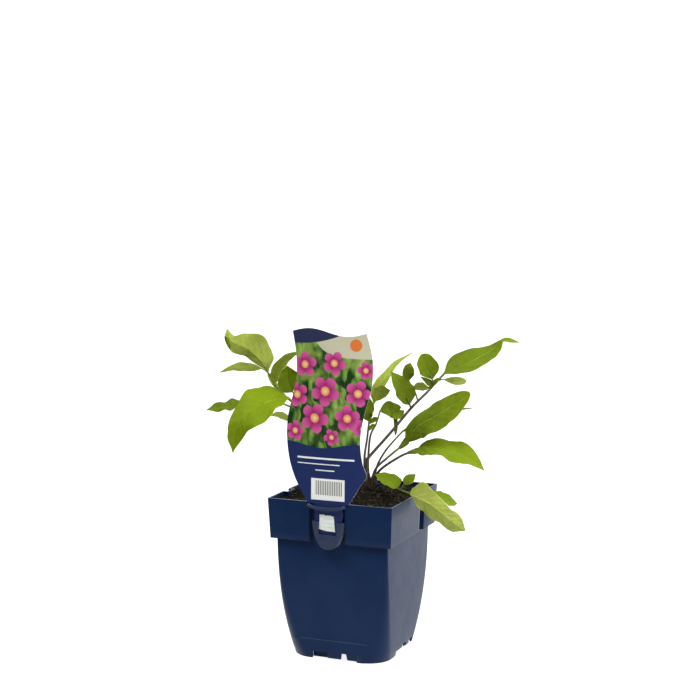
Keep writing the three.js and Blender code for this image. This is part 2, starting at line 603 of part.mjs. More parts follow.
function soilBlock() {
  const steps = Array.from({ length: soilCells + 1 }, (_, k) => mix(-rimHalf, rimHalf, k / soilCells));
  const grid = (height) => steps.map((y) => steps.map((x) => new THREE.Vector3(x, y, height(x, y))));
  return slab(grid(soilHeight), grid(() => basePlate[0]));
}

function makeSoil() {
  const inset = potWall + soilGap;
  const top = soilLevel + 2 * crown.rise;
  const inBody = bodySolid(basePlate[1] + soilGap, top, inset);
  const ledge = collarFoot + potWall + soilGap;
  const inCollar = collarSolid(ledge, top, inset).subtract(recessBlocks(inset));
  let soil = inBody.add(inCollar).intersect(soilBlock());
  Object.values(fronds).forEach(({ stalks }) => { soil = soil.subtract(stalkHole(stalks[0])); });
  return soil;
}

// A round stalk along a path, tapering from foot to end
function sweep(path, foot, end, steps, grow = 0) {
  const curve = curveThrough(path);
  const rings = [];
  let across = new THREE.Vector3(0, 1, 0);
  for (let k = 0; k <= steps; k++) {
    const t = k / steps;
    const heading = curve.getTangent(t);
    across = across.clone().addScaledVector(heading, -across.dot(heading)).normalize();
    const other = heading.clone().cross(across);
    const radius = mix(foot, end, t) + grow;
    const centre = curve.getPoint(t);
    rings.push(Array.from({ length: stalkSides }, (_, j) => {
      const angle = (j / stalkSides) * 2 * Math.PI;
      return centre.clone().addScaledVector(across, radius * Math.cos(angle))
        .addScaledVector(other, radius * Math.sin(angle));
    }));
  }
  return loft(rings);
}

const stalkSolid = ({ path, foot, end }) => sweep(path, foot, end, (path.length - 1) * stalkSteps);

// Plain hole in the soil round the buried start of a stalk
function stalkHole({ path, foot, end }) {
  const [x, y, z] = path[0];
  return sweep([[x, y, z - holeGap], ...path.slice(1)], foot, end, (path.length - 1) * stalkSteps, holeGap);
}

// One blade: half widths run from the stalk to the tip, the edge waves and the halves fold up a little
function bladeSolid({
  rib, left, right, face, leftFoot = 0.5, rightFoot = 0.5, leftTip = 0.4, rightTip = 0.4, wave, waves = 3,
}) {
  const curve = curveThrough(rib);
  const up = new THREE.Vector3(...face).normalize();
  const halves = { left: [leftFoot, ...left, leftTip], right: [rightFoot, ...right, rightTip] };
  const steps = clamp(Math.round(curve.getLength() / bladeStep), ...bladeSteps);
  const grid = [];
  for (let i = 0; i <= steps; i++) {
    const t = i / steps;
    const heading = curve.getTangent(t);
    const toLeft = up.clone().cross(heading).normalize();
    const lift = heading.clone().cross(toLeft);
    const centre = curve.getPoint(t);
    const row = [];
    for (let j = -bladeHalves; j <= bladeHalves; j++) {
      const v = j / bladeHalves;
      const width = along(v < 0 ? halves.left : halves.right, t);
      const phase = v < 0 ? wavePhase : 0;
      const ripple = wave * Math.sin(2 * Math.PI * (waves * t + phase)) * v * v * Math.sin(Math.PI * t);
      row.push(centre.clone().addScaledVector(toLeft, -v * width)
        .addScaledVector(lift, bladeFold * (Math.abs(v) - foldLevel) * width + ripple));
    }
    grid.push(row);
  }
  return sheet(grid, bladeThick);
}

const makeFrond = ({ stalks, blades }) => fuse([...stalks.map(stalkSolid), ...blades.map(bladeSolid)]);

// The label's foot is flat in its holder, and above the rim its edges bow back
function labelPoint(x, z) {
  const rise = clamp((z - potHeight) / labelBowRise, 0, 1);
  return new THREE.Vector3(x, labelPlane + labelBow * (x / labelTop.right) ** 2 * rise, z);
}

function makeLabel() {
  const grid = labelRows.map(([z, left, right]) =>
    Array.from({ length: labelColumns + 1 }, (_, j) => labelPoint(mix(left, right, j / labelColumns), z)));
  const { height, wave, left, right } = labelTop;
  grid.push(Array.from({ length: labelColumns + 1 }, (_, j) => {
    const s = j / labelColumns;
    return labelPoint(mix(left, right, s), height + wave * Math.sin(2 * Math.PI * s));
  }));
  return sheet(grid, labelThick);
}

function makeSticker() {
  const back = labelPlane - labelThick / 2 - sticker.gap;
  const shape = new THREE.Shape(sticker.corners.map(([x, z]) => new THREE.Vector2(x, z)));
  return plateSolid(shape, back - sticker.thick, back);
}

const plant = new THREE.Group();

function addPiece(name, solid, color, roughness) {
  const material = new THREE.MeshStandardMaterial({ color, roughness, metalness: 0, flatShading: true });
  const mesh = new THREE.Mesh(toGeometry(solid), material);
  mesh.name = name;
  plant.add(mesh);
}

addPiece("pot", makePot(), colours.pot, 0.4);
addPiece("soil", makeSoil(), colours.soil, 1);
addPiece("label", makeLabel(), colours.label, 0.35);
addPiece("sticker", makeSticker(), colours.sticker, 0.6);
Object.entries(fronds).forEach(([name, frond]) => addPiece(name, makeFrond(frond), frond.colour, 0.6));

export default plant;
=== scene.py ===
import math
import random

import bmesh
import bpy
from mathutils import Matrix, Vector, noise


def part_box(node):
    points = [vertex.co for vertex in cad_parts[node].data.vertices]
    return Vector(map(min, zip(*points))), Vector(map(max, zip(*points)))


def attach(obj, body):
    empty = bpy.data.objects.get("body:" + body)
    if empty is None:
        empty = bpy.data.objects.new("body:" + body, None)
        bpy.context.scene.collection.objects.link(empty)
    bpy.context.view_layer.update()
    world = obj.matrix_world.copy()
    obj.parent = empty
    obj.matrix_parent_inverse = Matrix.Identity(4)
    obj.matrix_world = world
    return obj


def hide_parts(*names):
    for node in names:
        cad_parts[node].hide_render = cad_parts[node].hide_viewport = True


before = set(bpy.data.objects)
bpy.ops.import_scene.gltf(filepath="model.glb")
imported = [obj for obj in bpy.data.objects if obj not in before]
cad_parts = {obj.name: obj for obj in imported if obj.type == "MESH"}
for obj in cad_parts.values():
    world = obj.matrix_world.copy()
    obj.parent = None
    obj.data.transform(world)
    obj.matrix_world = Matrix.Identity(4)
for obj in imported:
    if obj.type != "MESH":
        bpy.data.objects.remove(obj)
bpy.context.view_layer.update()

mm = 0.001  # the sizes below are millimetres, Blender's are metres
scene = bpy.context.scene
scene.view_settings.view_transform = "Standard"

rimHalf, _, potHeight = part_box("pot")[1] / mm


# Small helpers

def mix(a, b, t):
    return a + (b - a) * t


def clamp(value, low=0.0, high=1.0):
    return min(high, max(low, value))


def smoothStep(low, high, value):
    t = clamp((value - low) / (high - low))
    return t * t * (3 - 2 * t)


def onCurve(points, t):
    # smooth curve through evenly spaced points, numbers or vectors
    last = len(points) - 1
    place = clamp(t) * last
    i = min(int(place), last - 1)
    w = place - i
    b, c = points[i], points[i + 1]
    a = points[i - 1] if i > 0 else 2 * b - c
    d = points[i + 2] if i + 2 <= last else 2 * c - b
    return b + 0.5 * w * (c - a + w * (2 * a - 5 * b + 4 * c - d + w * (3 * (b - c) + d - a)))


def alongValues(values, t):
    # the same for half widths, whose end values stand twice
    return onCurve([values[0], *values, values[-1]], mix(1, len(values), clamp(t)) / (len(values) + 1))


def headingOn(points, t):
    step = 1e-4
    return (onCurve(points, min(t + step, 1)) - onCurve(points, max(t - step, 0))).normalized()


def toMesh(bm, name="work"):
    mesh = bpy.data.meshes.new(name)
    bm.to_mesh(mesh)
    bm.free()
    return mesh


def withModifiers(bm, *modifiers):
    # runs modifiers on a bmesh and gives the finished one back
    work = bpy.data.objects.new("work", toMesh(bm))
    scene.collection.objects.link(work)
    for kind, settings in modifiers:
        modifier = work.modifiers.new(kind, kind)
        for setting, value in settings.items():
            setattr(modifier, setting, value)
    done = bpy.data.meshes.new_from_object(work.evaluated_get(bpy.context.evaluated_depsgraph_get()))
    bpy.data.objects.remove(work)
    finished = bmesh.new()
    finished.from_mesh(done)
    bpy.data.meshes.remove(done)
    return finished


def shell(thick, offset=0, even=True):
    # gives a sheet its thickness
    return "SOLIDIFY", dict(thickness=thick, offset=offset, use_even_offset=even)


def rounded(width, segments, turn):
    # rounds the edges that turn by more degrees than this
    return "BEVEL", dict(width=width, segments=segments, limit_method="ANGLE", angle_limit=math.radians(turn))


def gridSheet(across, up, spotOf):
    # a grid whose points are placed by their shares across and up
    bm = bmesh.new()
    bmesh.ops.create_grid(bm, x_segments=across, y_segments=up, size=1)
    for vert in bm.verts:
        vert.co = spotOf((vert.co.x + 1) / 2, (vert.co.y + 1) / 2)
    return bm


def addInto(target, source):
    mesh = toMesh(source)
    target.from_mesh(mesh)
    bpy.data.meshes.remove(mesh)


def vertsOf(parts):
    return [part for part in parts if isinstance(part, bmesh.types.BMVert)]


def edgesOf(parts):
    return [part for part in parts if isinstance(part, bmesh.types.BMEdge)]


def paintAll(bm, index):
    # gives every face the piece's material of this number
    for face in bm.faces:
        face.material_index = index


def faceFront(bm):
    # turns a sheet's outside to the front
    bmesh.ops.recalc_face_normals(bm, faces=bm.faces)
    if bm.faces[:][0].normal.y > 0:
        bmesh.ops.reverse_faces(bm, faces=bm.faces)


def cutBy(bm, cutter):
    # takes the cutter's volume out of a closed bmesh
    tool = bpy.data.objects.new("tool", toMesh(cutter))
    scene.collection.objects.link(tool)
    cut = withModifiers(bm, ("BOOLEAN", dict(object=tool, operation="DIFFERENCE", solver="EXACT")))
    bpy.data.objects.remove(tool)
    return cut


def makePiece(name, bm, materials, nodes=(), sharpAngle=35):
    # a finished piece in metres at the origin, riding on the root body
    bmesh.ops.scale(bm, vec=(mm, mm, mm), verts=bm.verts)
    mesh = toMesh(bm, name)
    for material in materials:
        mesh.materials.append(material)
    mesh.polygons.foreach_set("use_smooth", [True] * len(mesh.polygons))
    mesh.set_sharp_from_angle(angle=math.radians(sharpAngle))
    piece = bpy.data.objects.new(name, mesh)
    scene.collection.objects.link(piece)
    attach(piece, "root")
    if nodes:
        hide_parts(*nodes)
    print("made", name, "with", len(mesh.polygons), "faces")
    return piece


# Node helpers

class Nodes:
    # writes the nodes of a material, or of a world, in short lines
    def __init__(self, name, kind="materials", shader="Principled BSDF", **look):
        self.material = getattr(bpy.data, kind).new(name)
        self.material.use_nodes = True
        self.tree = self.material.node_tree
        self.shader = self.tree.nodes[shader]
        for socket, value in look.items():
            self.shader.inputs[socket.replace("_", " ")].default_value = value

    def add(self, kind, sockets=(), **settings):
        node = self.tree.nodes.new("ShaderNode" + kind)
        for setting, value in settings.items():
            setattr(node, setting, value)
        for socket, value in dict(sockets).items():
            self.put(value, node.inputs[socket])
        return node

    def put(self, value, socket):
        if isinstance(value, bpy.types.NodeSocket):
            self.tree.links.new(value, socket)
        else:
            socket.default_value = value

    def calc(self, operation, a, b=0.0, c=0.0):
        return self.add("Math", {0: a, 1: b, 2: c}, operation=operation).outputs[0]

    def times(self, a, b):
        return self.calc("MULTIPLY", a, b)

    def plus(self, a, b):
        return self.calc("ADD", a, b)

    def minus(self, a, b):
        return self.calc("SUBTRACT", a, b)

    def blend(self, factor, a, b, mode="MIX"):
        node = self.add("Mix", {0: factor, 6: a, 7: b}, data_type="RGBA", blend_type=mode)
        return node.outputs[2]

    def between(self, value, low, high, fromZero=0.0, toOne=1.0):
        # a soft step from low to high
        sockets = {"Value": value, "From Min": low, "From Max": high, "To Min": fromZero, "To Max": toOne}
        return self.add("MapRange", sockets, interpolation_type="SMOOTHSTEP").outputs[0]

    def distance(self, a, b):
        return self.calc("SQRT", self.plus(self.times(a, a), self.times(b, b)))

    def within(self, value, low, high, soft):
        # one from low to high, with soft ends
        rising = self.between(value, low - soft, low + soft)
        return self.times(rising, self.between(value, high + soft, high - soft))

    def place(self, stretch=(1, 1, 1)):
        spot = self.add("TexCoord").outputs["Object"]
        return self.add("Mapping", {"Vector": spot, "Scale": stretch}).outputs[0]

    def front(self):
        # places across and up in millimetres
        spot = self.add("SeparateXYZ", {0: self.place(stretch=(1 / mm,) * 3)}).outputs
        return spot["X"], spot["Z"]

    def noise(self, size, detail=3, rough=0.55, stretch=(1, 1, 1)):
        # size is the width of a patch in millimetres
        place = self.place(stretch)
        sockets = {"Vector": place, "Scale": 1 / (size * mm), "Detail": detail, "Roughness": rough}
        return self.add("TexNoise", sockets).outputs["Fac"]

    def bump(self, height, depth):
        # depth in millimetres for a height of one
        node = self.add("Bump", {"Height": height, "Distance": depth * mm})
        previous = self.shader.inputs["Normal"]
        if previous.links:
            self.tree.links.new(previous.links[0].from_socket, node.inputs["Normal"])
        self.tree.links.new(node.outputs[0], previous)

    def colour(self, value):
        self.put(value, self.shader.inputs["Base Color"])

    def rough(self, noise, low, high, smooth, dull):
        # from smooth, where the noise is low, to dull
        self.put(self.between(noise, low, high, smooth, dull), self.shader.inputs["Roughness"])


# Camera and studio

studio = {
    "azimuth": 22.35, "elevation": 6.7, "place": (0.5169, -1.2665, 0.4152), "lens": 84.75,
    "keyPlace": (-0.55, -0.95, 1.7), "keySize": 0.8, "keyPower": 24,
    "fillPlace": (1.0, -0.8, 1.3), "fillSize": 1.0, "fillPower": 10,
    "aim": (0, 0, 0.15), "brightSide": (0.6, 0.8, 0), "backLight": 1.45, "frontLight": 0.05,
    "wallFade": (-0.6, 0.5),  # where the walls pass from dim to bright
    "floorTone": 0.35, "floorGlow": 0.45, "floorLift": 0.4, "floorReach": 0.4,
}


def makeCamera():
    camera = bpy.data.objects.new("camera", bpy.data.cameras.new("camera"))
    turn, tilt = math.radians(studio["azimuth"]), math.radians(studio["elevation"])
    back = Vector((math.sin(turn) * math.cos(tilt), -math.cos(turn) * math.cos(tilt), math.sin(tilt)))
    camera.location = studio["place"]
    camera.rotation_euler = back.to_track_quat("Z", "Y").to_euler()
    camera.data.lens = studio["lens"]
    camera.data.sensor_width = 36
    camera.data.clip_start = 0.01
    scene.collection.objects.link(camera)
    scene.camera = camera


def makeLight(name, place, size, power):
    light = bpy.data.lights.new(name, "AREA")
    light.shape = "DISK"
    light.size = size
    light.energy = power
    lamp = bpy.data.objects.new(name, light)
    lamp.location = place
    lamp.rotation_euler = (Vector(place) - Vector(studio["aim"])).to_track_quat("Z", "Y").to_euler()
    scene.collection.objects.link(lamp)


def makeStudio():
    makeLight("keyLight", studio["keyPlace"], studio["keySize"], studio["keyPower"])
    makeLight("fillLight", studio["fillPlace"], studio["fillSize"], studio["fillPower"])
    # bright walls behind the plant, dimmer ones in front of it
    walls = Nodes("studioWalls", "worlds", "Background", Color=(1, 1, 1, 1))
    spot = walls.add("TexCoord").outputs["Generated"]
    turned = walls.add("VectorMath", {0: spot, 1: studio["brightSide"]}, operation="DOT_PRODUCT")
    fade = walls.between(turned.outputs["Value"], *studio["wallFade"], studio["frontLight"],
                         studio["backLight"])
    seen = walls.add("LightPath").outputs["Is Camera Ray"]
    walls.put(walls.calc("MAXIMUM", seen, fade), walls.shader.inputs["Strength"])
    scene.world = walls.material
    floorPaint = Nodes("floorPaint", Roughness=0.9, Emission_Color=(1, 1, 1, 1))
    seen = floorPaint.add("LightPath").outputs["Is Camera Ray"]
    glow = floorPaint.calc("MULTIPLY_ADD", seen, studio["floorLift"], studio["floorGlow"])
    floorPaint.put(glow, floorPaint.shader.inputs["Emission Strength"])
    tone = studio["floorTone"]
    grain = floorPaint.noise(60)
    floorPaint.colour(floorPaint.blend(grain, (tone, tone, tone, 1), (tone + 0.03,) * 3 + (1,)))
    bm = bmesh.new()
    bmesh.ops.create_circle(bm, cap_ends=True, segments=96, radius=studio["floorReach"])
    mesh = toMesh(bm, "floor")
    mesh.materials.append(floorPaint.material)
    floor = bpy.data.objects.new("floor", mesh)
    scene.collection.objects.link(floor)
    print("studio ready")


makeCamera()
makeStudio()


# Pot

pot = {
    "collarFoot": 101, "collarFootHalf": 53.4, "collarRadius": 0.6, "wall": 1.4,
    "bodyTopHalf": 49.2, "bodyBaseHalf": 42.5, "bodyDraft": 0.047,
    "topRadius": 1.2, "baseRadius": 20, "belly": 2.7, "cornerBelly": 1.6,
    "recesses": [(-17.5, 13.4), (13.5, 24), (-16, 16), (13.5, 24)],  # front, right, back and left
    "recessSlope": 0.3, "ledge": 0.3, "stepHeight": 16.8, "stepDepth": 0.6,
    "cornerSteps": 14, "edge": 0.2,
    "plateFoot": 6, "plateTop": 7.6, "holeRadius": 4.2, "holeOffset": 22, "footRadius": 7, "footFlare": 0.6,
    "webInset": 3.4, "webThick": 1, "sheen": 0.22, "sheenSpread": 0.4,
}
plastics = {  # navy where it is clean and where it has faded, and its gloss
    "potPlastic": {"navy": (0.0005, 0.0155, 0.064, 1), "faded": (0.0025, 0.0195, 0.072, 1), "gloss": 0.13},
    # paler navy for the strap and shield: a painted highlight where light catches them
    "paintedHighlightPlastic": {"navy": (0.023, 0.037, 0.08, 1), "faded": (0.034, 0.048, 0.098, 1), "gloss": 0.2},
}
# lower edge of the skirt along the front and back, then along the sides: place and height
longSkirt = [(-20, 0), (-19.6, 1.3), (-19.3, 6), (-13, 6), (-6.2, 6), (-6, 1.3), (-1, 1.3), (5.7, 1.3),
             (6.6, 6.5), (10.7, 6.5), (11.5, 1.3), (15.7, 1.3), (19.6, 1.3), (20, 0)]
sideSkirt = [(-20, 0), (-13, 0), (-12.3, 3.8), (-5, 3.8), (1.4, 3.8), (1.8, 6.3), (9.6, 6.3), (10.2, 2.8),
             (16.3, 2.8), (17, 6.4), (20, 6.4)]
skirts = [longSkirt, sideSkirt, longSkirt, sideSkirt]
openCorner = {"share": 0.25, "height": 6.4}  # the side skirts' last gap runs on into the corner
webs = [  # ribs inside the skirt's gaps: side, from, to, foot
    (0, -20.5, -5, 0.8), (1, 0.5, 11, 2.6), (1, 15.5, 27, 0.6), (2, -20.5, -5, 0.8), (3, 0.5, 11, 2.6),
    (3, 15.5, 27, 0.6),
]
bodyRows = [9, 12.5, 15.2, 16.5, 17.1, 20, 24, 29, 34, 40, 47, 54, 62, 70, 78, 87, 95, 99.5]
collarRows = [0, 0.15, 0.5, 0.85, 0.96, 1]
labelBar = {
    "middle": -2.1, "half": 16.4, "bow": 4.4, "squareness": 6, "bite": 0.4, "thick": 1.7, "tall": 2.2,
    "endHeight": 132.5, "sag": 1.9,
}
pocket = {
    "outline": [(2.6, 96.8), (6, 98.6), (8.8, 102.5), (11.8, 110), (13.6, 119.4)],
    "front": 58.4, "depth": 8.6, "wall": 1.1, "rounding": 0.9,
    "windowHalf": 8, "windowFoot": 108.8, "windowCorner": 1.6,
}


def bodySection(z):
    depth = clamp(1 - z / pot["collarFoot"])
    half = mix(pot["bodyTopHalf"], pot["bodyBaseHalf"], depth ** pot["belly"])
    half += pot["bodyDraft"] * max(0, z - pot["collarFoot"])
    return half, mix(pot["topRadius"], pot["baseRadius"], depth ** pot["cornerBelly"])


def collarHalf(z):
    rise = (z - pot["collarFoot"]) / (potHeight - pot["collarFoot"])
    return mix(pot["collarFootHalf"], rimHalf, rise)


def wallStations():
    # places all round the pot: (side, x, foot height, arc), with arc None on the flat
    stations = []
    steps = pot["cornerSteps"]
    for side, (skirt, recess) in enumerate(zip(skirts, pot["recesses"])):
        flat = list(skirt)
        for x in (*recess, recess[0] - pot["recessSlope"], recess[1] + pot["recessSlope"]):
            flat.append((x, max(stop for stop in skirt if stop[0] <= x)[1]))
        stations += [(side, x, foot, None) for x, foot in sorted(flat)]
        for k in range(steps + 1):
            opened = side % 2 == 1 and k / steps <= openCorner["share"]
            stations.append((side, 0, openCorner["height"] if opened else 0, k / steps))
    return stations


def stepReach(side, arc):
    # the low step runs along the front and back and dies out in the corners
    along = side % 2 == 0
    if arc is None:
        return 1 if along else 0
    return smoothStep(0.2, 0, arc) if along else smoothStep(0.6, 1, arc)


def wallPoint(station, row):
    # row: ("foot", 0), ("body", z) or ("collar", z)
    side, x, foot, arc = station
    kind, z = row
    low, high = pot["recesses"][side]
    inRecess = arc is None and low - 1e-6 <= x <= high + 1e-6
    if kind == "foot":
        z = foot
    half, radius = bodySection(z)
    if kind == "collar" and not inRecess:
        half, radius = collarHalf(z), pot["collarRadius"]
    if kind != "collar" and z <= pot["stepHeight"]:
        half += pot["stepDepth"] * stepReach(side, arc)
    reach = half - radius
    if arc is None:
        spot = Vector((clamp(x, -reach, reach), -half, z))
    else:
        angle = math.radians(-90 + 90 * arc)
        spot = Vector((reach + radius * math.cos(angle), -reach + radius * math.sin(angle), z))
    return Matrix.Rotation(side * math.pi / 2, 3, "Z") @ spot


def potWall():
    stations = wallStations()
    rows = [("foot", 0)] + [("body", z) for z in bodyRows] + [("body", pot["collarFoot"])]
    rise = potHeight - pot["collarFoot"] - pot["ledge"]
    rows += [("collar", pot["collarFoot"] + pot["ledge"] + rise * part) for part in collarRows]
    around, high = len(stations), len(rows) - 1

    def spotOf(s, t):
        return wallPoint(stations[round(s * around) % around], rows[round(t * high)])

    bm = gridSheet(around, high, spotOf)
    bmesh.ops.remove_doubles(bm, verts=bm.verts, dist=0.001)
    bmesh.ops.recalc_face_normals(bm, faces=bm.faces)
    return withModifiers(bm, shell(pot["wall"], -1), rounded(pot["edge"], 2, 38))


def basePlate():
    half, radius = bodySection(pot["plateFoot"])
    bm = bmesh.new()
    square = bmesh.ops.create_grid(bm, x_segments=1, y_segments=1, size=half - pot["wall"] / 2)["verts"]
    bmesh.ops.bevel(bm, geom=square, affect="VERTICES", offset=radius, segments=12, profile=0.5, material=-1)
    bmesh.ops.translate(bm, vec=(0, 0, pot["plateFoot"]), verts=bm.verts)
    top = bmesh.ops.extrude_face_region(bm, geom=bm.faces[:], use_keep_orig=True)["geom"]
    bmesh.ops.translate(bm, vec=(0, 0, pot["plateTop"] - pot["plateFoot"]), verts=vertsOf(top))
    bmesh.ops.recalc_face_normals(bm, faces=bm.faces)
    drill = bmesh.new()
    hole = dict(cap_ends=True, segments=24, radius1=pot["holeRadius"], radius2=pot["holeRadius"], depth=8)
    for x in (-1, 0, 1):
        for y in (-1, 0, 1):
            if x or y:
                spot = Matrix.Translation((x * pot["holeOffset"], y * pot["holeOffset"], pot["plateFoot"]))
                bmesh.ops.create_cone(drill, matrix=spot, **hole)
    bm = cutBy(bm, drill)
    foot = bmesh.new()
    tall = pot["plateTop"] - 1  # ends inside the plate
    radius = pot["footRadius"]
    bmesh.ops.create_cone(foot, cap_ends=True, segments=40, radius1=radius, radius2=radius + pot["footFlare"],
                          depth=tall, matrix=Matrix.Translation((0, 0, tall / 2)))
    addInto(bm, foot)
    return withModifiers(bm, rounded(0.3, 2, 30))


def skirtWebs():
    bm = bmesh.new()
    inset = pot["bodyBaseHalf"] - pot["webInset"]
    bedded = 0.6  # how far a rib reaches up into the plate
    for side, start, end, foot in webs:
        middle = Vector(((start + end) / 2, -inset, (foot + pot["plateFoot"]) / 2))
        size = Matrix.Diagonal((end - start, pot["webThick"], pot["plateFoot"] - foot + bedded, 1))
        turn = Matrix.Rotation(side * math.pi / 2, 4, "Z")
        bmesh.ops.create_cube(bm, size=1, matrix=turn @ Matrix.Translation(middle) @ size)
    return bm


def labelBarStrap():
    # an upright band, bowed out and sagging, with its ends turned back into the rim
    def spotOf(s, t):
        share = math.sin((s - 0.5) * math.pi)
        out = labelBar["bow"] * (1 - share ** labelBar["squareness"]) - labelBar["bite"]
        drop = labelBar["sag"] * (1 - share ** 2) - (t - 0.5) * labelBar["tall"]
        across = labelBar["middle"] + labelBar["half"] * share
        return across, -rimHalf - out, labelBar["endHeight"] - drop

    return withModifiers(gridSheet(44, 1, spotOf), shell(labelBar["thick"]), rounded(0.75, 4, 50))


def pocketShield():
    # a U-shaped front with its side wall run back to the pot
    steps = 16
    side = [Vector((x, z, 0)) for x, z in pocket["outline"]]
    outer = [tuple(onCurve(side, k / steps).xy) for k in range(steps + 1)]
    foot, half, corner = pocket["windowFoot"], pocket["windowHalf"], pocket["windowCorner"]
    outline = outer + [(half, outer[-1][1])]
    for k in range(5):
        turn = math.radians(90 * k / 4)
        outline.append((half - corner + corner * math.cos(turn), foot + corner - corner * math.sin(turn)))
    outline += [(-x, z) for x, z in reversed(outline)]
    bm = bmesh.new()
    verts = [bm.verts.new((x, -pocket["front"], z)) for x, z in outline]
    bm.faces.new(verts)
    rim = verts[:len(outer)] + verts[-len(outer):]
    edges = [edge for edge in bm.edges if edge.verts[0] in rim and edge.verts[1] in rim]
    pushed = bmesh.ops.extrude_edge_only(bm, edges=edges)["geom"]
    bmesh.ops.translate(bm, vec=(0, pocket["depth"], 0), verts=vertsOf(pushed))
    bmesh.ops.bevel(bm, geom=edges, affect="EDGES", offset=pocket["rounding"], segments=4, profile=0.5,
                    material=-1)
    bmesh.ops.recalc_face_normals(bm, faces=bm.faces)
    front = max(bm.faces, key=lambda face: len(face.verts))
    if front.normal.y > 0:
        bmesh.ops.reverse_faces(bm, faces=bm.faces)
    return withModifiers(bm, shell(pocket["wall"], -1), rounded(0.25, 2, 50))


def potPlastic(name, navy, faded, gloss):
    look = Nodes(name, Specular_IOR_Level=gloss, Sheen_Weight=pot["sheen"],
                 Sheen_Roughness=pot["sheenSpread"])
    look.colour(look.blend(look.between(look.noise(35, detail=4), 0.35, 0.7), navy, faded))
    look.rough(look.noise(11, detail=6, rough=0.65), 0.3, 0.75, 0.3, 0.38)
    look.bump(look.noise(0.9, detail=2), 0.03)
    look.bump(look.noise(24, detail=2), 0.3)
    return look.material


def makePot():
    bm = potWall()
    for part in (basePlate(), skirtWebs()):
        addInto(bm, part)
    # the strap and shield take the paler plastic, a painted highlight
    for part in (labelBarStrap(), pocketShield()):
        paintAll(part, 1)
        addInto(bm, part)
    looks = [potPlastic(name, **shades) for name, shades in plastics.items()]
    makePiece("moulded_pot", bm, looks, ["pot"], sharpAngle=40)


makePot()


# Soil

soil = {
    "level": 130.5, "gap": 0.3, "cells": 190, "seed": 7,
    "crown": (10, 6, 6.5, 14), "bank": (-42, -6, 4.2, 18),  # x, y, rise, spread
    "lump": 0.9, "swell": 0.5, "clod": 1.3, "clodSize": 3.2, "grit": 0.4, "gritSize": 0.75,
    "crumbs": 3400, "crumbSize": (0.35, 1.5), "crumbLight": 1.15,
    "dark": (0.006, 0.0052, 0.0028), "brown": (0.02, 0.0155, 0.0075), "straw": (0.085, 0.062, 0.028),
}
# heights of the soil's hidden sides and how much slimmer than the pot its body is
soilRows = {"heights": (112, 103.2, 98, 60, 30, 12), "bodyInset": 1.5, "ledge": pot["collarFoot"] + 4}
fibre = {
    "count": 260, "length": (4, 20), "bend": 0.6, "thick": (0.1, 0.26),
    "tan": (0.2, 0.15, 0.09, 1), "rust": (0.07, 0.042, 0.022, 1),
}
strand = {  # pale dead strands: every other one at the crown, the rest along the front wall
    "count": 46, "thick": (0.16, 0.34), "lean": (-0.35, 0.35),
    "fromCrown": (1, 7), "crownTall": (3, 13), "wallX": (12, 46), "wallY": (-50, -38), "wallTall": (1.5, 5.5),
}
stub = {  # dried leaf bases round the stalks
    "count": 34, "fromCrown": (1.5, 7.5), "tall": (6, 16), "lean": (0.2, 2.5), "thick": (0.4, 0.95),
    "dark": (0.02, 0.012, 0.008, 1), "dry": (0.075, 0.045, 0.028, 1),
}
anyTurn = (0, 6.28)


def mound(hill, x, y):
    cx, cy, rise, spread = hill
    return rise * math.exp(-((x - cx) ** 2 + (y - cy) ** 2) / spread ** 2)


def soilHeight(x, y):
    lumps = soil["lump"] * math.sin(x / 5.3 + math.sin(y / 9)) * math.cos(y / 6.1 + math.sin(x / 11))
    swells = soil["swell"] * math.sin(x / 2.4 + y / 4) * math.sin(y / 2.9 - x / 4)
    return soil["level"] + mound(soil["crown"], x, y) + mound(soil["bank"], x, y) + lumps + swells


def soilTop(x, y):
    clods = noise.fractal(Vector((x, y, 3)) / soil["clodSize"], 0.7, 2.1, 5)
    return soilHeight(x, y) + soil["clod"] * clods


def fitInPot(x, y):
    # squeezes a place of the full square into the collar's inside, round its recesses
    wall = collarHalf(soil["level"]) - pot["wall"] - soil["gap"]
    floor = bodySection(soil["level"])[0] - pot["wall"] - soil["gap"]
    grow = pot["wall"] + soil["gap"]

    def pressed(value, across, recess):
        low, high = recess[0] - grow, recess[1] + grow
        out = max(smoothStep(low, low - 2.5, across), smoothStep(high, high + 2.5, across))
        return value * mix(1, mix(floor, wall, out) / wall, smoothStep(30, wall, abs(value)))
    x, y = x * wall, y * wall
    reach = wall - 2
    if abs(x) > reach and abs(y) > reach:  # round corner
        out = Vector((abs(x) - reach, abs(y) - reach))
        out = out.normalized() * max(out)
        x, y = math.copysign(reach + out.x, x), math.copysign(reach + out.y, y)
    front, right, back, left = pot["recesses"]
    # a side's own places run anticlockwise seen from above
    return (pressed(x, y if x > 0 else -y, right if x > 0 else left),
            pressed(y, x if y < 0 else -x, front if y < 0 else back))


def roundSquare(spot, half, reach):
    # moves a place onto a square whose corners are round past reach
    grown = spot * (half / max(abs(spot.x), abs(spot.y)))
    out = Vector((max(abs(grown.x) - reach, 0), max(abs(grown.y) - reach, 0)))
    if out.x > 0 and out.y > 0 and out.length > half - reach:
        out *= (half - reach) / out.length
    grown.x = math.copysign(min(abs(grown.x), reach) + out.x, grown.x)
    grown.y = math.copysign(min(abs(grown.y), reach) + out.y, grown.y)
    return grown


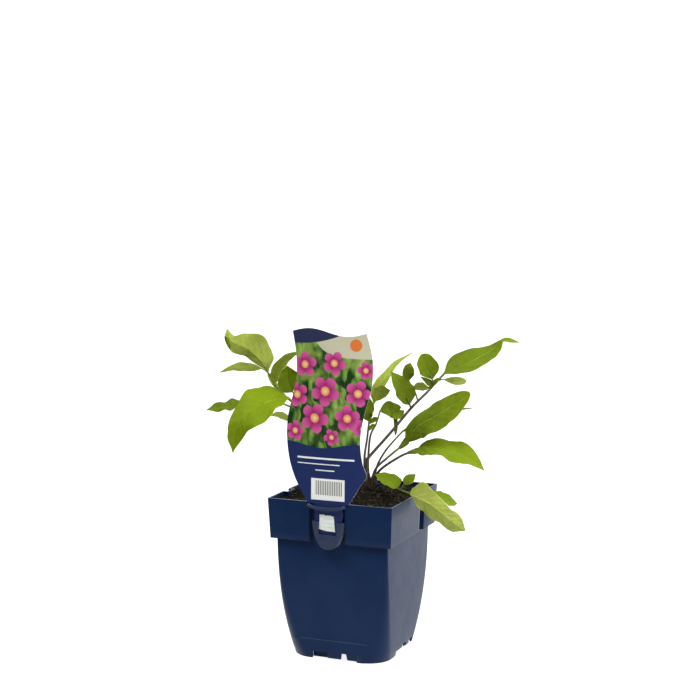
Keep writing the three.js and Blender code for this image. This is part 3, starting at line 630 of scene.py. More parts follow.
def soilBed():
    bm = bmesh.new()
    bmesh.ops.create_grid(bm, x_segments=soil["cells"], y_segments=soil["cells"], size=1)
    for vert in bm.verts:
        x, y = fitInPot(vert.co.x, vert.co.y)
        grit = noise.noise(Vector((x, y, 9)) / soil["gritSize"])
        vert.co = Vector((x, y, soilTop(x, y) + soil["grit"] * grit))
    # sides and underside, where the pot hides them
    edges = [edge for edge in bm.edges if edge.is_boundary]
    for z in (*soilRows["heights"], pot["plateTop"] + soil["gap"]):
        pushed = bmesh.ops.extrude_edge_only(bm, edges=edges)["geom"]
        edges = edgesOf(pushed)
        half, radius = bodySection(z)
        half -= pot["wall"] + soil["gap"] + soilRows["bodyInset"]
        reach = half - max(radius, 4)
        for vert in vertsOf(pushed):
            vert.co.z = z
            if z <= soilRows["ledge"]:
                vert.co.xy = roundSquare(vert.co.xy, half, reach)
    bmesh.ops.contextual_create(bm, geom=edges)
    bmesh.ops.recalc_face_normals(bm, faces=bm.faces)
    makePiece("peat_bed", bm, [peatLook("peat", 1.0)], ["soil"], sharpAngle=180)


def peatLook(name, lightness):
    look = Nodes(name, Roughness=0.95, Specular_IOR_Level=0.25)
    shades = [soil[shade] for shade in ("dark", "brown", "straw")]
    dark, brown, straw = [(*(part * lightness for part in shade), 1) for shade in shades]
    base = look.blend(look.between(look.noise(2.2, detail=5, rough=0.7), 0.38, 0.68), dark, brown)
    look.colour(look.blend(look.between(look.noise(0.9, detail=3), 0.66, 0.76, 0, 0.7), base, straw))
    look.bump(look.noise(0.5, detail=4, rough=0.7), 0.3)
    return look.material


def crumbs(draw):
    bm = bmesh.new()
    reach = bodySection(soil["level"])[0] - pot["wall"] - 1.5
    for _ in range(soil["crumbs"]):
        x, y = draw.uniform(-reach, reach), draw.uniform(-reach, reach)
        size = mix(*soil["crumbSize"], draw.random() ** 2.5)
        spot = Matrix.Translation((x, y, soilTop(x, y) + size * 0.25))
        turn = Matrix.Rotation(draw.uniform(*anyTurn), 4, (draw.random(), draw.random(), 0.3))
        stretch = Matrix.Diagonal((draw.uniform(0.6, 1.6), draw.uniform(0.6, 1.2), draw.uniform(0.5, 1), 1))
        bmesh.ops.create_icosphere(bm, subdivisions=1, radius=size, matrix=spot @ turn @ stretch)
    makePiece("peat_crumbs", bm, [peatLook("peatCrumb", soil["crumbLight"])], sharpAngle=50)


def tube(bm, points, radii, sides, steps, tone=None, layer=None):
    # a round strand swept along a smooth path, closed at both ends
    across = Vector((0, 1, 0))
    previous = None
    ring = None
    for k in range(steps + 1):
        t = k / steps
        heading = headingOn(points, t)
        across = (across - heading * across.dot(heading)).normalized()
        other = heading.cross(across)
        frameOf = Matrix((across, other, heading)).transposed().to_4x4()
        here = Matrix.Translation(onCurve(points, t)) @ frameOf @ Matrix.Scale(alongValues(radii, t), 4)
        if ring is None:
            ring = bmesh.ops.create_circle(bm, cap_ends=True, segments=sides, radius=1, matrix=here)["verts"]
            edges = list({edge for vert in ring for edge in vert.link_edges})
        else:
            pushed = bmesh.ops.extrude_edge_only(bm, edges=edges)["geom"]
            ring = vertsOf(pushed)
            edges = [edge for edge in edgesOf(pushed) if edge.verts[0] in ring and edge.verts[1] in ring]
            bmesh.ops.transform(bm, matrix=here @ previous.inverted(), verts=ring)
        if layer is not None:
            for vert in ring:
                vert[layer] = tone(t)
        previous = here
    bmesh.ops.contextual_create(bm, geom=edges)


def addStrand(bm, points, radii, sides, steps):
    single = bmesh.new()
    tube(single, points, radii, sides, steps)
    bmesh.ops.recalc_face_normals(single, faces=single.faces)
    addInto(bm, single)


def leaning(x, y, sunk, lean, tall, leans):
    # a path up from the soil, that leans by these shares at 40, 80 and 100 % of its height
    foot = Vector((x, y, soilTop(x, y) - sunk))
    return [foot] + [foot + lean * share + Vector((0, 0, tall * part))
                     for share, part in zip(leans, (0.4, 0.8, 1))]


def fibres(draw):
    bm = bmesh.new()
    reach = bodySection(soil["level"])[0] - pot["wall"] - 3
    for _ in range(fibre["count"]):
        x, y = draw.uniform(-reach, reach), draw.uniform(-reach, reach)
        turn, length = draw.uniform(*anyTurn), mix(*fibre["length"], draw.random() ** 2)
        points = []
        for k in range(5):
            turn += draw.uniform(-fibre["bend"], fibre["bend"])
            x = clamp(x + math.cos(turn) * length / 4, -reach, reach)
            y = clamp(y + math.sin(turn) * length / 4, -reach, reach)
            lift = draw.uniform(-0.2, 0.5) + (draw.random() ** 3) * 2
            points.append(Vector((x, y, soilTop(x, y) + lift)))
        thick = draw.uniform(*fibre["thick"])
        addStrand(bm, points, [thick, thick, thick * 0.4], 4, 10)
    makePiece("root_fibres", bm, [fibreLook()], sharpAngle=60)


def longStrands(draw):
    bm = bmesh.new()
    crownX, crownY = soil["crown"][:2]
    for k in range(strand["count"]):
        turn = draw.uniform(*anyTurn)
        if k % 2 == 0:
            x = crownX + math.cos(turn) * draw.uniform(*strand["fromCrown"])
            y = crownY + math.sin(turn) * draw.uniform(*strand["fromCrown"])
            tall = draw.uniform(*strand["crownTall"])
        else:
            x, y = draw.uniform(*strand["wallX"]), draw.uniform(*strand["wallY"])
            tall = draw.uniform(*strand["wallTall"])
        lean = Vector((draw.uniform(*strand["lean"]), draw.uniform(*strand["lean"]), 0)) * tall
        points = leaning(x, y, 1, lean, tall, (0.2, 0.6, 1))
        thick = draw.uniform(*strand["thick"])
        addStrand(bm, points, [thick, thick * 0.9, thick * 0.5], 5, 8)
    makePiece("dead_strands", bm, [fibreLook()], sharpAngle=60)


def fibreLook():
    look = Nodes("fibre", Roughness=0.85)
    look.colour(look.blend(look.between(look.noise(6, detail=2), 0.35, 0.65), fibre["rust"], fibre["tan"]))
    look.bump(look.noise(0.3), 0.1)
    return look.material


def crownStubs(draw):
    bm = bmesh.new()
    crownX, crownY = soil["crown"][:2]
    for k in range(stub["count"]):
        turn = draw.uniform(*anyTurn)
        out = mix(*stub["fromCrown"], draw.random() ** 1.4)
        x, y = crownX + math.cos(turn) * out, crownY + math.sin(turn) * out * 0.8
        tall = draw.uniform(*stub["tall"]) * (1.15 - out / 10)
        lean = Vector((math.cos(turn), math.sin(turn), 0)) * draw.uniform(*stub["lean"])
        points = leaning(x, y, 1.5, lean, tall, (0.3, 0.8, 1.5))
        thick = draw.uniform(*stub["thick"])
        addStrand(bm, points, [thick, thick * 0.9, thick * 0.5, 0.08], 6, 8)
    makePiece("crown_stubs", bm, [stubLook()], sharpAngle=60)


def stubLook():
    look = Nodes("driedLeafBase", Roughness=0.85)
    grain = look.noise(1.2, detail=4, stretch=(1, 1, 0.2))
    look.colour(look.blend(look.between(grain, 0.35, 0.7), stub["dark"], stub["dry"]))
    look.bump(grain, 0.25)
    return look.material


def makeSoil():
    draw = random.Random(soil["seed"])
    soilBed()
    crumbs(draw)
    fibres(draw)
    crownStubs(draw)
    longStrands(draw)


makeSoil()


# Plant label

label = {
    "plane": -55.6, "thick": 0.6, "bow": 2.4, "bowRise": 25, "columns": 40, "rowsBetween": 4,
    "foot": [  # height, left edge, right edge; the foot's own sides stand straight
        (98.4, -3.5, 3.5), (100, -5.5, 5.5), (104, -7.5, 7.5), (112, -9.5, 9.5), (122, -12, 12.4),
        (126, -12.3, 13), (130, -12.5, 12.5), (134, -12.6, 12.5)],
    "board": [
        (134.6, -18.5, 18), (150, -28, 27), (159, -32.5, 32.5), (168, -35.5, 29.5), (180, -37.5, 27.5),
        (192, -38, 27.5), (204, -37, 29.5), (216, -34, 32.5), (228, -30.5, 36), (240, -28.5, 37.5),
        (252, -28.5, 37.5), (262, -29.5, 36)],
    "topHeight": 274.8, "topWave": 2.9, "topLeft": -32, "topRight": 32.5,
}
# generic five-petal blossoms on the printed picture: x, height, radius, turn
blossoms = [
    (3, 189.5, 7, 0.5), (-30, 193, 8.5, 1.1), (30, 197.5, 9, 0.2), (16.5, 205.5, 11, 0.9),
    (-12, 204.5, 12.5, 0.1), (-28, 223, 10.5, 0.6), (25.5, 226, 11, 1.3), (-2.5, 227, 12.5, 0.35),
    (-20.5, 248, 10.5, 0.95), (5.5, 250, 10, 0.15), (32, 245, 7.5, 0.7),
]
printed = {
    "panelTop": 182.3, "panelWave": 2.1, "swooshFoot": 265.3, "swooshRise": 0.0052, "swooshEnd": 9.25,
    "skyFoot": 253.8, "skyRise": 12.7, "sunPlace": (24, 265), "sunSize": 5,
    "rules": [(-28, 22.5, 171.5, 1.5), (-28, 10, 166.8, 0.8), (-11.5, 5.5, 161.8, 0.9)],
    "barPanel": (-15.2, 14.3, 137.3, 155), "bars": (-11.5, 12, 141.5, 153.2), "barPitch": 1.55,
    "backLines": (192.15, 250.85), "backSides": (-22.9, 21.9), "linePitch": 6,
}
inks = {
    "navy": (0.0155, 0.029, 0.112, 1), "white": (0.85, 0.87, 0.84, 1), "swoosh": (0.03, 0.035, 0.09, 1),
    "leafDark": (0.012, 0.05, 0.012, 1), "leafLight": (0.19, 0.36, 0.06, 1), "hollow": (0.01, 0.03, 0.012, 1),
    "glow": (0.35, 0.5, 0.09, 1), "skyLow": (0.50, 0.50, 0.33, 1), "skyHigh": (0.70, 0.66, 0.50, 1),
    "sun": (0.75, 0.20, 0.045, 1), "bar": (0.07, 0.06, 0.055, 1), "backLine": (0.06, 0.08, 0.16, 1),
    "petalFoot": (0.42, 0.025, 0.17, 1), "petalTip": (0.70, 0.12, 0.36, 1),
    "petalLine": (0.30, 0.012, 0.13, 1), "heart": (0.85, 0.62, 0.30, 1), "heartEdge": (0.80, 0.33, 0.12, 1),
}


def labelPoint(x, z):
    rise = clamp((z - potHeight) / label["bowRise"])
    return Vector((x, label["plane"] + label["bow"] * (x / label["topRight"]) ** 2 * rise, z))


def labelSheet():
    steps = label["rowsBetween"]
    rows = []
    for part in (label["foot"], label["board"]):
        last = (len(part) - 1) * steps
        rows += [onCurve([Vector(row) for row in part], k / last) for k in range(last + 1)]
    topSteps = 3
    high = len(rows) + topSteps - 1

    def spotOf(s, t):
        k = round(t * high)
        z, left, right = rows[min(k, len(rows) - 1)]
        if k >= len(rows):
            part = (k - len(rows) + 1) / topSteps
            left, right = mix(left, label["topLeft"], part), mix(right, label["topRight"], part)
            z = mix(z, label["topHeight"] + label["topWave"] * math.sin(2 * math.pi * s), part)
        return labelPoint(mix(left, right, s), z)

    bm = gridSheet(label["columns"], high, spotOf)
    faceFront(bm)
    return bm


def leafyGround(look):
    bend = look.add("CombineXYZ", {"X": look.times(look.noise(14, detail=2), 0.012)}).outputs[0]
    spot = look.add("Mapping", {"Vector": look.place(), "Rotation": (0, 0.6, 0), "Scale": (1, 1, 0.45)})
    bent = look.add("VectorMath", {0: spot.outputs[0], 1: bend}, operation="ADD").outputs[0]
    cells = look.add("TexVoronoi", {"Vector": bent, "Scale": 210}, feature="F1").outputs
    shade = look.add("SeparateColor", {0: cells["Color"]}).outputs[0]
    ground = look.blend(look.between(shade, 0.2, 0.85), inks["leafDark"], inks["leafLight"])
    hollow = look.times(look.between(cells["Distance"], 0.25, 0.75), 0.75)
    ground = look.blend(hollow, ground, inks["hollow"])
    return look.blend(look.between(look.noise(22), 0.5, 0.68, 0, 0.6), ground, inks["glow"], "SCREEN")


def labelPrint():
    look = Nodes("labelPrint", Specular_IOR_Level=0.25)
    x, z = look.front()

    def inBox(left, right, foot, top, soft=0.12):
        return look.times(look.within(x, left, right, soft), look.within(z, foot, top, soft))

    picture = leafyGround(look)
    # pale sky with a plain sun
    fall = look.calc("EXPONENT", look.times(look.plus(x, 10), -0.11))
    edge = look.calc("MULTIPLY_ADD", fall, printed["skyRise"], printed["skyFoot"])
    haze = look.blend(look.noise(30, detail=1), inks["skyLow"], inks["skyHigh"])
    picture = look.blend(look.between(look.minus(z, edge), -0.5, 0.5), picture, haze)
    sunX, sunZ = printed["sunPlace"]
    fromSun = look.distance(look.minus(x, sunX), look.minus(z, sunZ))
    sun = look.between(fromSun, printed["sunSize"] + 0.25, printed["sunSize"] - 0.25)
    picture = look.blend(sun, picture, inks["sun"])
    for flower in blossoms:
        picture = blossom(look, picture, x, z, *flower)

    # navy swoosh at the top left and navy panel below the picture
    rise = look.times(look.calc("POWER", look.plus(x, 26), 2), printed["swooshRise"])
    swoosh = look.between(look.minus(z, look.plus(rise, printed["swooshFoot"])), -0.15, 0.15)
    swoosh = look.times(swoosh, look.between(x, printed["swooshEnd"] + 0.25, printed["swooshEnd"] - 0.25))
    picture = look.blend(swoosh, picture, inks["swoosh"])
    wave = look.times(look.calc("SINE", look.times(look.plus(x, 22), 0.1)), -printed["panelWave"])
    panel = look.between(look.minus(z, look.plus(wave, printed["panelTop"])), 0.15, -0.15)
    picture = look.blend(panel, picture, inks["navy"])

    for left, right, height, thick in printed["rules"]:
        rule = inBox(left, right, height - thick / 2, height + thick / 2)
        picture = look.blend(rule, picture, inks["white"])
    picture = look.blend(inBox(*printed["barPanel"]), picture, inks["white"])
    pitch = printed["barPitch"]
    stripes = look.between(look.calc("PINGPONG", x, pitch / 2), pitch * 0.2, pitch * 0.28)
    bars = look.times(stripes, inBox(*printed["bars"]))
    look.colour(look.blend(look.times(bars, 0.9), picture, inks["bar"]))
    look.rough(look.noise(16, detail=4), 0.3, 0.75, 0.28, 0.4)
    look.bump(look.noise(25, detail=1), 0.25)
    return look.material


def blossom(look, under, x, z, centreX, centreZ, radius, turn):
    dx, dz = look.minus(x, centreX), look.minus(z, centreZ)
    reach = look.calc("DIVIDE", look.distance(dx, dz), radius)
    angle = look.plus(look.calc("ARCTAN2", dz, dx), turn)
    lobe = look.calc("ABSOLUTE", look.calc("COSINE", look.times(angle, 2.5)))
    edge = look.calc("MULTIPLY_ADD", look.calc("POWER", lobe, 0.5), 0.5, 0.5)
    petals = look.between(look.minus(edge, reach), -0.02, 0.03)
    rays = look.calc("ABSOLUTE", look.calc("SINE", look.times(angle, 22)))
    light = look.times(look.calc("MULTIPLY_ADD", rays, 0.35, 0.65), look.between(lobe, 0, 0.75, 0.45, 1))
    pink = look.blend(look.between(reach, 0.25, 0.95), inks["petalFoot"], inks["petalTip"])
    pink = look.blend(look.minus(1, light), pink, inks["petalLine"])
    disc = look.blend(look.between(reach, 0.06, 0.26), inks["heart"], inks["heartEdge"])
    return look.blend(look.between(reach, 0.33, 0.27), look.blend(petals, under, pink), disc)


def labelBack():
    look = Nodes("labelBack")
    x, z = look.front()
    lines = look.between(look.calc("PINGPONG", z, printed["linePitch"] / 2), 0.5, 0.35)
    lines = look.times(lines, look.within(z, *printed["backLines"], 0.15))
    lines = look.times(lines, look.within(x, *printed["backSides"], 0.1))
    paper = look.blend(look.noise(30, detail=2), (0.66, 0.67, 0.64, 1), (0.74, 0.75, 0.72, 1))
    paper = look.blend(look.times(lines, 0.7), paper, inks["backLine"])
    look.colour(look.blend(look.between(z, 182, 181.7), paper, inks["navy"]))
    look.rough(look.noise(16, detail=4), 0.3, 0.75, 0.36, 0.5)
    look.bump(look.noise(25, detail=1), 0.25)
    return look.material


def labelCore():
    # white film that shows along the cut edge, painted navy at the foot: painted shade where the edge sits in
    # the holder
    look = Nodes("labelCore", Roughness=0.5)
    film = look.blend(look.noise(3), (0.62, 0.63, 0.64, 1), (0.74, 0.75, 0.76, 1))
    look.colour(look.blend(look.between(look.front()[1], 136, 134), film, (0.02, 0.034, 0.11, 1)))
    look.bump(look.noise(0.6), 0.05)
    return look.material


def makeLabel():
    bm = withModifiers(labelSheet(), shell(label["thick"]))
    bm.normal_update()
    for face in bm.faces:
        face.material_index = 2
        if abs(face.normal.y) > 0.7:
            face.material_index = 0 if face.normal.y < 0 else 1
    makePiece("plant_label", bm, [labelPrint(), labelBack(), labelCore()], ["label"])


makeLabel()


# Paper sticker

sticker = {
    # anticlockwise from the lower left
    "corners": [(-8.2, 113.3), (6.4, 111.7), (5.1, 124.9), (-7.4, 125.7)],
    "thick": 0.21, "gap": 0.3, "dashes": (-5.2, 4.6), "dashTop": 122.2,
    "paper": (0.68, 0.74, 0.66, 1), "bright": (0.86, 0.9, 0.84, 1), "ink": (0.25, 0.27, 0.25, 1),
}


def stickerPaper():
    look = Nodes("stickerPaper", Roughness=0.7)
    x, z = look.front()
    paper = look.blend(look.noise(4, detail=4), sticker["paper"], sticker["bright"])
    rows = look.between(look.calc("PINGPONG", look.plus(z, 0.4), 1.7), 0.4, 0.25)
    dashes = look.between(look.calc("PINGPONG", x, 1.1), 0.35, 0.5)
    inside = look.within(x, *sticker["dashes"], 0.2)
    inside = look.times(inside, look.between(z, sticker["dashTop"] + 0.2, sticker["dashTop"] - 0.2))
    marks = look.times(look.times(rows, dashes), inside)
    look.colour(look.blend(look.times(marks, 0.45), paper, sticker["ink"]))
    look.bump(look.noise(0.5, detail=3), 0.06)
    return look.material


def makeSticker():
    lowLeft, lowRight, topRight, topLeft = [Vector(corner) for corner in sticker["corners"]]
    back = label["plane"] - label["thick"] / 2 - sticker["gap"]

    def spotOf(s, t):
        # a torn top edge, wavy sides and a slightly lifted corner
        torn = 0.8 * noise.noise(Vector((s * 6, 2, 0))) + 0.45 * noise.noise(Vector((s * 17, 5, 0)))
        side = 0.2 * noise.noise(Vector((t * 4, 8, 0)))
        spot = lowLeft.lerp(lowRight, s).lerp(topLeft.lerp(topRight, s), t)
        pinch = 0.4 * math.sin(math.pi * t) * (0.5 - s)
        curl = 0.25 * smoothStep(0.75, 1, t) * smoothStep(0.5, 1, s)
        crease = 0.06 * noise.noise(Vector((s * 5, t * 5, 1)))
        height = spot.y + (torn - 0.2) * smoothStep(0.6, 1, t) - 0.5 * math.sin(math.pi * s) * (1 - t)
        return spot.x + side + pinch, back - curl + crease, height

    bm = gridSheet(24, 24, spotOf)
    faceFront(bm)
    bm = withModifiers(bm, shell(sticker["thick"], 1, even=False))
    makePiece("paper_sticker", bm, [stickerPaper()], ["sticker"])


makeSticker()


# Fronds

leaf = {
    "thick": 0.42, "alongStep": 1.15, "fewest": 14, "most": 64, "halfSteps": 12, "spread": 1.3,
    "fold": 0.18, "foldLevel": 0.45, "waves": 3, "wavePhase": 0.35, "ribDepth": 0.24, "ribWidth": 1.2,
    "veinDepth": 0.16, "veinWidth": 0.75, "pucker": 0.13, "edgeRipple": 0.35, "edgeTrim": 0.05,
    "sway": 0.7, "swayLength": 11, "foot": 0.5, "tip": 0.4,  # half widths at a blade's ends
    "stalkSides": 10, "stalkStep": 2.2, "stalkScale": 1.25, "sideFoot": 0.6, "sideEnd": 0.5,
    "sideTone": 0.62,  # side stalks carry on the colour of their main stalk
}
leafColours = {
    "upperDark": (0.072, 0.108, 0.0008, 1), "upperLight": (0.2, 0.295, 0.002, 1),
    "upperVein": (0.3, 0.4, 0.03, 1), "upperRib": (0.36, 0.45, 0.1, 1),
    "underDark": (0.26, 0.325, 0.027, 1), "underLight": (0.70, 0.81, 0.16, 1),
    "underVein": (0.55, 0.62, 0.2, 1), "underNet": (0.34, 0.43, 0.06, 1),
    "stalkDark": (0.045, 0.034, 0.026, 1), "stalkPale": (0.10, 0.078, 0.052, 1),
    "stalkGreen": (0.14, 0.2, 0.02, 1),
}
# each blade's tone pair, foot then tip, runs from dark to light green; the low tones are partly painted shade
# on blades that sit in shadow
fronds = {
    "frond_tall_left": {"fresh": 0.35, "stalks": [
        {"path": [(2.8, 5, 126), (2.8, 5, 140), (-3, 3, 159), (-21, -2, 179), (-43, -8, 201),
         (-55.5, -12, 212), (-65, -15, 222), (-70, -16.5, 231), (-73.5, -17.5, 238)], "foot": 1, "end": 0.6},
        {"path": [(-69.5, -16.5, 231), (-73.5, -17.5, 235.5), (-78, -19, 238)]},
        {"path": [(-61, -14, 217.5), (-63, -17.5, 221.5), (-64, -20.5, 226)]},
        {"path": [(-46, -9, 203), (-48.5, -13, 212), (-49, -17.5, 220)]},
    ], "blades": [
        {"rib": [(-72, -15.5, 235), (-76.5, -19, 243), (-83.5, -24, 252), (-92, -30, 258.5),
         (-97.5, -36, 263.5), (-98, -40, 272)], "left": [10, 13.5, 18, 12.5, 7, 3.7],
         "right": [3.5, 6.5, 8.3, 10.5, 11.5, 8], "face": (-0.5, 0.65, 0.6), "wave": 0.7,
         "tone": (0.45, 0.6), "curl": (1, 0.5, 7, 1.45)},
        {"rib": [(-76.5, -18.5, 237.5), (-83, -23, 238), (-90.5, -28, 239), (-97.5, -34, 238.5),
         (-106, -39, 235)], "left": [3.5, 5.2, 5.9, 5.7, 4.3, 2.2], "right": [3.5, 5.2, 5.9, 5.5, 4.1, 2.2],
         "face": (-0.3, 0.65, 0.7), "wave": 0.3, "tone": (0.5, 0.5)},
        {"rib": [(-64, -20, 225), (-62.3, -23, 233.5), (-57, -25, 241.8), (-48, -27, 249.5),
         (-37, -26, 255)], "left": [4.6, 6.2, 6.1, 5, 3.9, 2.2], "right": [3, 4.2, 4.7, 4.5, 3.8, 2.2],
         "face": (-0.45, 0.75, 0.5), "wave": 0.35, "tone": (0.3, 0.1)},
        {"rib": [(-49, -17, 218.5), (-49, -23, 226.5), (-49, -27, 235), (-48, -30, 242.5)],
         "left": [6.2, 9.4, 10.4, 9.4, 7.1, 4], "right": [4.5, 8, 9.5, 9.5, 8, 4.5],
         "face": (0.4, -0.75, 0.5), "wave": 0.7, "tone": (0.35, 0.7)},
        {"rib": [(-56, -12.3, 212.6), (-62, -14.2, 218.8), (-67.5, -15.8, 226), (-71, -16, 233)],
         "both": [1.2, 1.7, 2, 2.2, 2.3, 2.3], "tip": 2, "face": (-0.45, 0.7, 0.55), "wave": 0.1,
         "tone": (0.4, 0.5)},
    ]},
    "frond_broad_left": {"fresh": 0.35, "stalks": [
        {"path": [(5.8, 0.5, 126), (5.8, 0.5, 140), (-2, -1, 158), (-17, -11.5, 179), (-34.5, -22, 201),
         (-42, -26, 209), (-47.5, -28.5, 215.5)], "foot": 1, "end": 0.6},
        {"path": [(-34.5, -22, 201), (-41, -21, 198.7), (-48.5, -20, 195.8)]},
    ], "blades": [
        {"rib": [(-47, -28, 215.5), (-56.5, -39, 215.5), (-65.5, -51, 211.5), (-75.5, -60, 202.5),
         (-80.5, -63, 188), (-82, -64, 172.5)], "left": [11, 16.5, 23, 23.5, 14, 7.5],
         "right": [14.5, 20.5, 18, 12.5, 8.5, 6], "face": (-0.05, -0.65, 0.75), "wave": 1.1,
         "tone": (0.8, 0.6)},
        {"rib": [(-47.5, -20, 195.7), (-56, -19.5, 196.7), (-62.5, -18.5, 198), (-69.5, -17.5, 197.5)],
         "left": [5, 7, 7, 5.6, 3.8, 2], "right": [3.2, 4.4, 4.4, 3.8, 2.8, 1.5], "face": (-0.1, 0.7, 0.7),
         "wave": 0.25, "tone": (0.6, 0.6)},
    ]},
    "frond_crumpled_left": {"fresh": 0.35, "stalks": [
        {"path": [(3.5, 10, 126), (3.5, 10, 140), (-5.5, 8.5, 159), (-28.5, 6.5, 182), (-50, 1, 199),
         (-65.5, -6.5, 207), (-80.5, -12.8, 210.7)], "foot": 1, "end": 0.6},
    ], "blades": [
        {"rib": [(-79, -12.5, 211), (-89, -15, 207), (-102, -18, 204.5), (-112, -23, 203.5),
         (-123, -31, 201)], "left": [6, 6.5, 5.5, 5.5, 6, 5.5], "right": [6.5, 7, 6.5, 7, 5.5, 5],
         "face": (0.2, -0.5, 0.85), "wave": 1.3, "waves": 4, "tone": (0.35, 0.25)},
    ]},
    "frond_tall_centre": {"stalks": [
        {"path": [(6.4, 7.6, 126), (6.4, 7.6, 152), (5.5, 10, 164), (6, 14.5, 178), (7, 17, 193),
         (10.5, 19.5, 209)], "foot": 1, "end": 0.6},
        {"path": [(6, 15, 181), (6, 17, 188), (6.5, 17, 194)]},
    ], "blades": [
        {"rib": [(10, 19, 207), (13, 22, 219), (19, 26, 230), (26, 31, 241), (38, 37, 250)],
         "left": [4, 4.5, 3.8, 3.2, 2.4, 1.2], "right": [5, 6, 5.5, 4.3, 3, 1.5], "face": (-0.25, 0.75, 0.6),
         "wave": 0.6, "tone": (0.2, 0.75)},
        {"rib": [(6.3, 17, 192), (6.5, 14, 199), (8, 13, 206), (9, 12, 213)], "left": [4, 5, 5.5, 5.5, 5, 3],
         "right": [3, 4.5, 5, 5.5, 5, 3], "face": (0.1, -0.75, 0.65), "wave": 0.5, "tone": (0.3, 0.35)},
        {"rib": [(10.5, 19, 209), (14.5, 17.5, 215), (20, 17, 219), (26, 16, 220)],
         "left": [4.5, 6.5, 7, 7, 6, 3.5], "right": [3.5, 5, 6.5, 7, 6.5, 4], "face": (-0.3, 0.7, 0.65),
         "wave": 0.6, "tone": (0.1, 0.2)},
        {"rib": [(7, 17, 190), (10, 19.5, 193), (13.5, 21, 195)], "both": [1.4, 2.2, 2.7, 2.7, 2.2, 1.4],
         "face": (0, -0.7, 0.7), "wave": 0.2, "tone": (0.6, 0.6)},
        {"rib": [(6.4, 15.5, 184), (9, 18.5, 187.5), (11.5, 20.5, 189)],
         "both": [1.2, 1.9, 2.3, 2.3, 1.9, 1.2], "face": (0, -0.7, 0.7), "wave": 0.2, "tone": (0.6, 0.6)},
    ]},
    "frond_short_centre": {"stalks": [
        {"path": [(9.6, 11, 126), (9.6, 11, 140), (8, 11.5, 155), (9.5, 12.5, 179.5), (14, 14.5, 190.5),
         (17.5, 15.1, 202)], "foot": 1, "end": 0.6},
    ], "blades": [
        {"rib": [(17, 15, 201.5), (23.5, 15, 205), (28, 18, 203), (32.5, 20, 199.5), (37, 21, 202.5)],
         "left": [4, 6, 6.5, 6.5, 5.5, 3.5], "right": [5.5, 8, 8.5, 7.5, 6, 4], "face": (0.25, -0.7, 0.65),
         "wave": 0.6, "tone": (0.35, 0.3)},
        {"rib": [(29, 18.4, 202.5), (29.8, 19.2, 195), (30, 19.6, 188), (29.5, 20, 181)],
         "both": [1.5, 1.7, 1.7, 1.6, 1.6, 1.2], "face": (0.4, -0.8, 0.2), "wave": 0.2, "tone": (0.3, 0.3)},
    ]},
    "frond_long_right": {"stalks": [
        {"path": [(9.4, 3.6, 126), (9.4, 3.6, 140), (10, 4, 160), (12, 5.3, 164.5), (27.5, 13, 184),
         (43.5, 19.5, 205), (56.5, 24, 219), (62.5, 25.7, 226), (70.5, 28.5, 235.5)], "foot": 1.2,
         "end": 0.8},
        {"path": [(61, 25, 224), (61.5, 23, 229), (60.5, 20, 234)], "foot": 0.7, "end": 0.5},
        {"path": [(59.5, 24.7, 222.5), (58.5, 25.6, 223), (56.5, 26, 222.7)]},
        {"path": [(64.5, 26.5, 228.5), (68, 26, 229.7), (72, 25.5, 230)]},
        {"path": [(43.5, 19.5, 205), (43, 16.5, 210), (42, 14, 215)], "foot": 0.7, "end": 0.5},
        {"path": [(49, 21.5, 211), (45, 24.5, 219), (39, 26, 227.5)]},
    ], "blades": [
        {"rib": [(69, 28, 234), (82, 33, 242), (98, 38, 250), (111, 42, 258), (117, 45, 263),
         (128, 51, 261)], "left": [13.5, 12, 9.5, 4.5, 2.8, 3.3], "right": [10, 15, 16, 9.5, 3.2, 2.8],
         "face": (-0.1, -0.6, 0.8), "wave": 1.1, "tone": (0.4, 0.7)},
        {"rib": [(61.5, 22.5, 230), (59, 20, 237), (57, 15.5, 245), (55, 12, 252)],
         "left": [3.5, 6.5, 8.5, 8.7, 8, 6.5], "right": [7, 10.5, 10.5, 9.5, 8, 6], "face": (0.5, -0.7, 0.5),
         "round": True, "wave": 0.6, "tone": (0.4, 0.6)},
        {"rib": [(57, 26, 222.5), (51, 26, 222.5), (43.5, 25.5, 221)], "left": [3.6, 5.8, 6.8, 6.8, 6, 4],
         "right": [3, 4.8, 5.6, 5.8, 5.4, 4], "face": (-0.25, 0.6, 0.75), "wave": 0.25, "tone": (0.4, 0.4)},
        {"rib": [(70.5, 25.5, 230), (79.5, 25, 229), (90.5, 24.5, 230.5)],
         "left": [2.8, 4.6, 5.8, 6.6, 6.8, 5.4], "right": [2.6, 4.4, 5.6, 6.4, 6.6, 5.2],
         "face": (-0.25, 0.6, 0.75), "round": True, "wave": 0.15, "tone": (0.6, 0.6)},
        {"rib": [(43, 17.5, 208), (41, 13, 216), (38, 8.5, 227), (31, 4, 237.5)],
         "left": [4, 6.5, 8, 8.5, 7.5, 4.5], "right": [10, 11.5, 10.5, 8.5, 6, 3.5],
         "face": (0.6, -0.65, 0.5), "wave": 0.9, "tone": (0.3, 0.45)},
        {"rib": [(39, 26, 227), (38.5, 25, 231.5), (39.5, 24.5, 238), (40.5, 26, 242.5)],
         "left": [3.5, 4.8, 5, 4.8, 4, 2.5], "right": [3.5, 4.8, 5.2, 5, 4.2, 2.6], "face": (0.5, -0.7, 0.5),
         "wave": 0.25, "tone": (0.35, 0.35)},
        {"rib": [(57, 24, 219.7), (61.7, 25.3, 226.2), (66.5, 27, 231)],
         "left": [1.5, 2.4, 2.9, 3, 2.8, 2.2], "right": [1.5, 2.4, 2.8, 2.9, 2.7, 2.2],
         "face": (-0.3, -0.7, 0.6), "wave": 0.2, "tone": (0.4, 0.4)},
        {"rib": [(61, 24.8, 224.2), (57, 23.8, 228), (50.7, 23.2, 231.6)], "left": [2, 3, 3, 2.6, 1.8, 1],
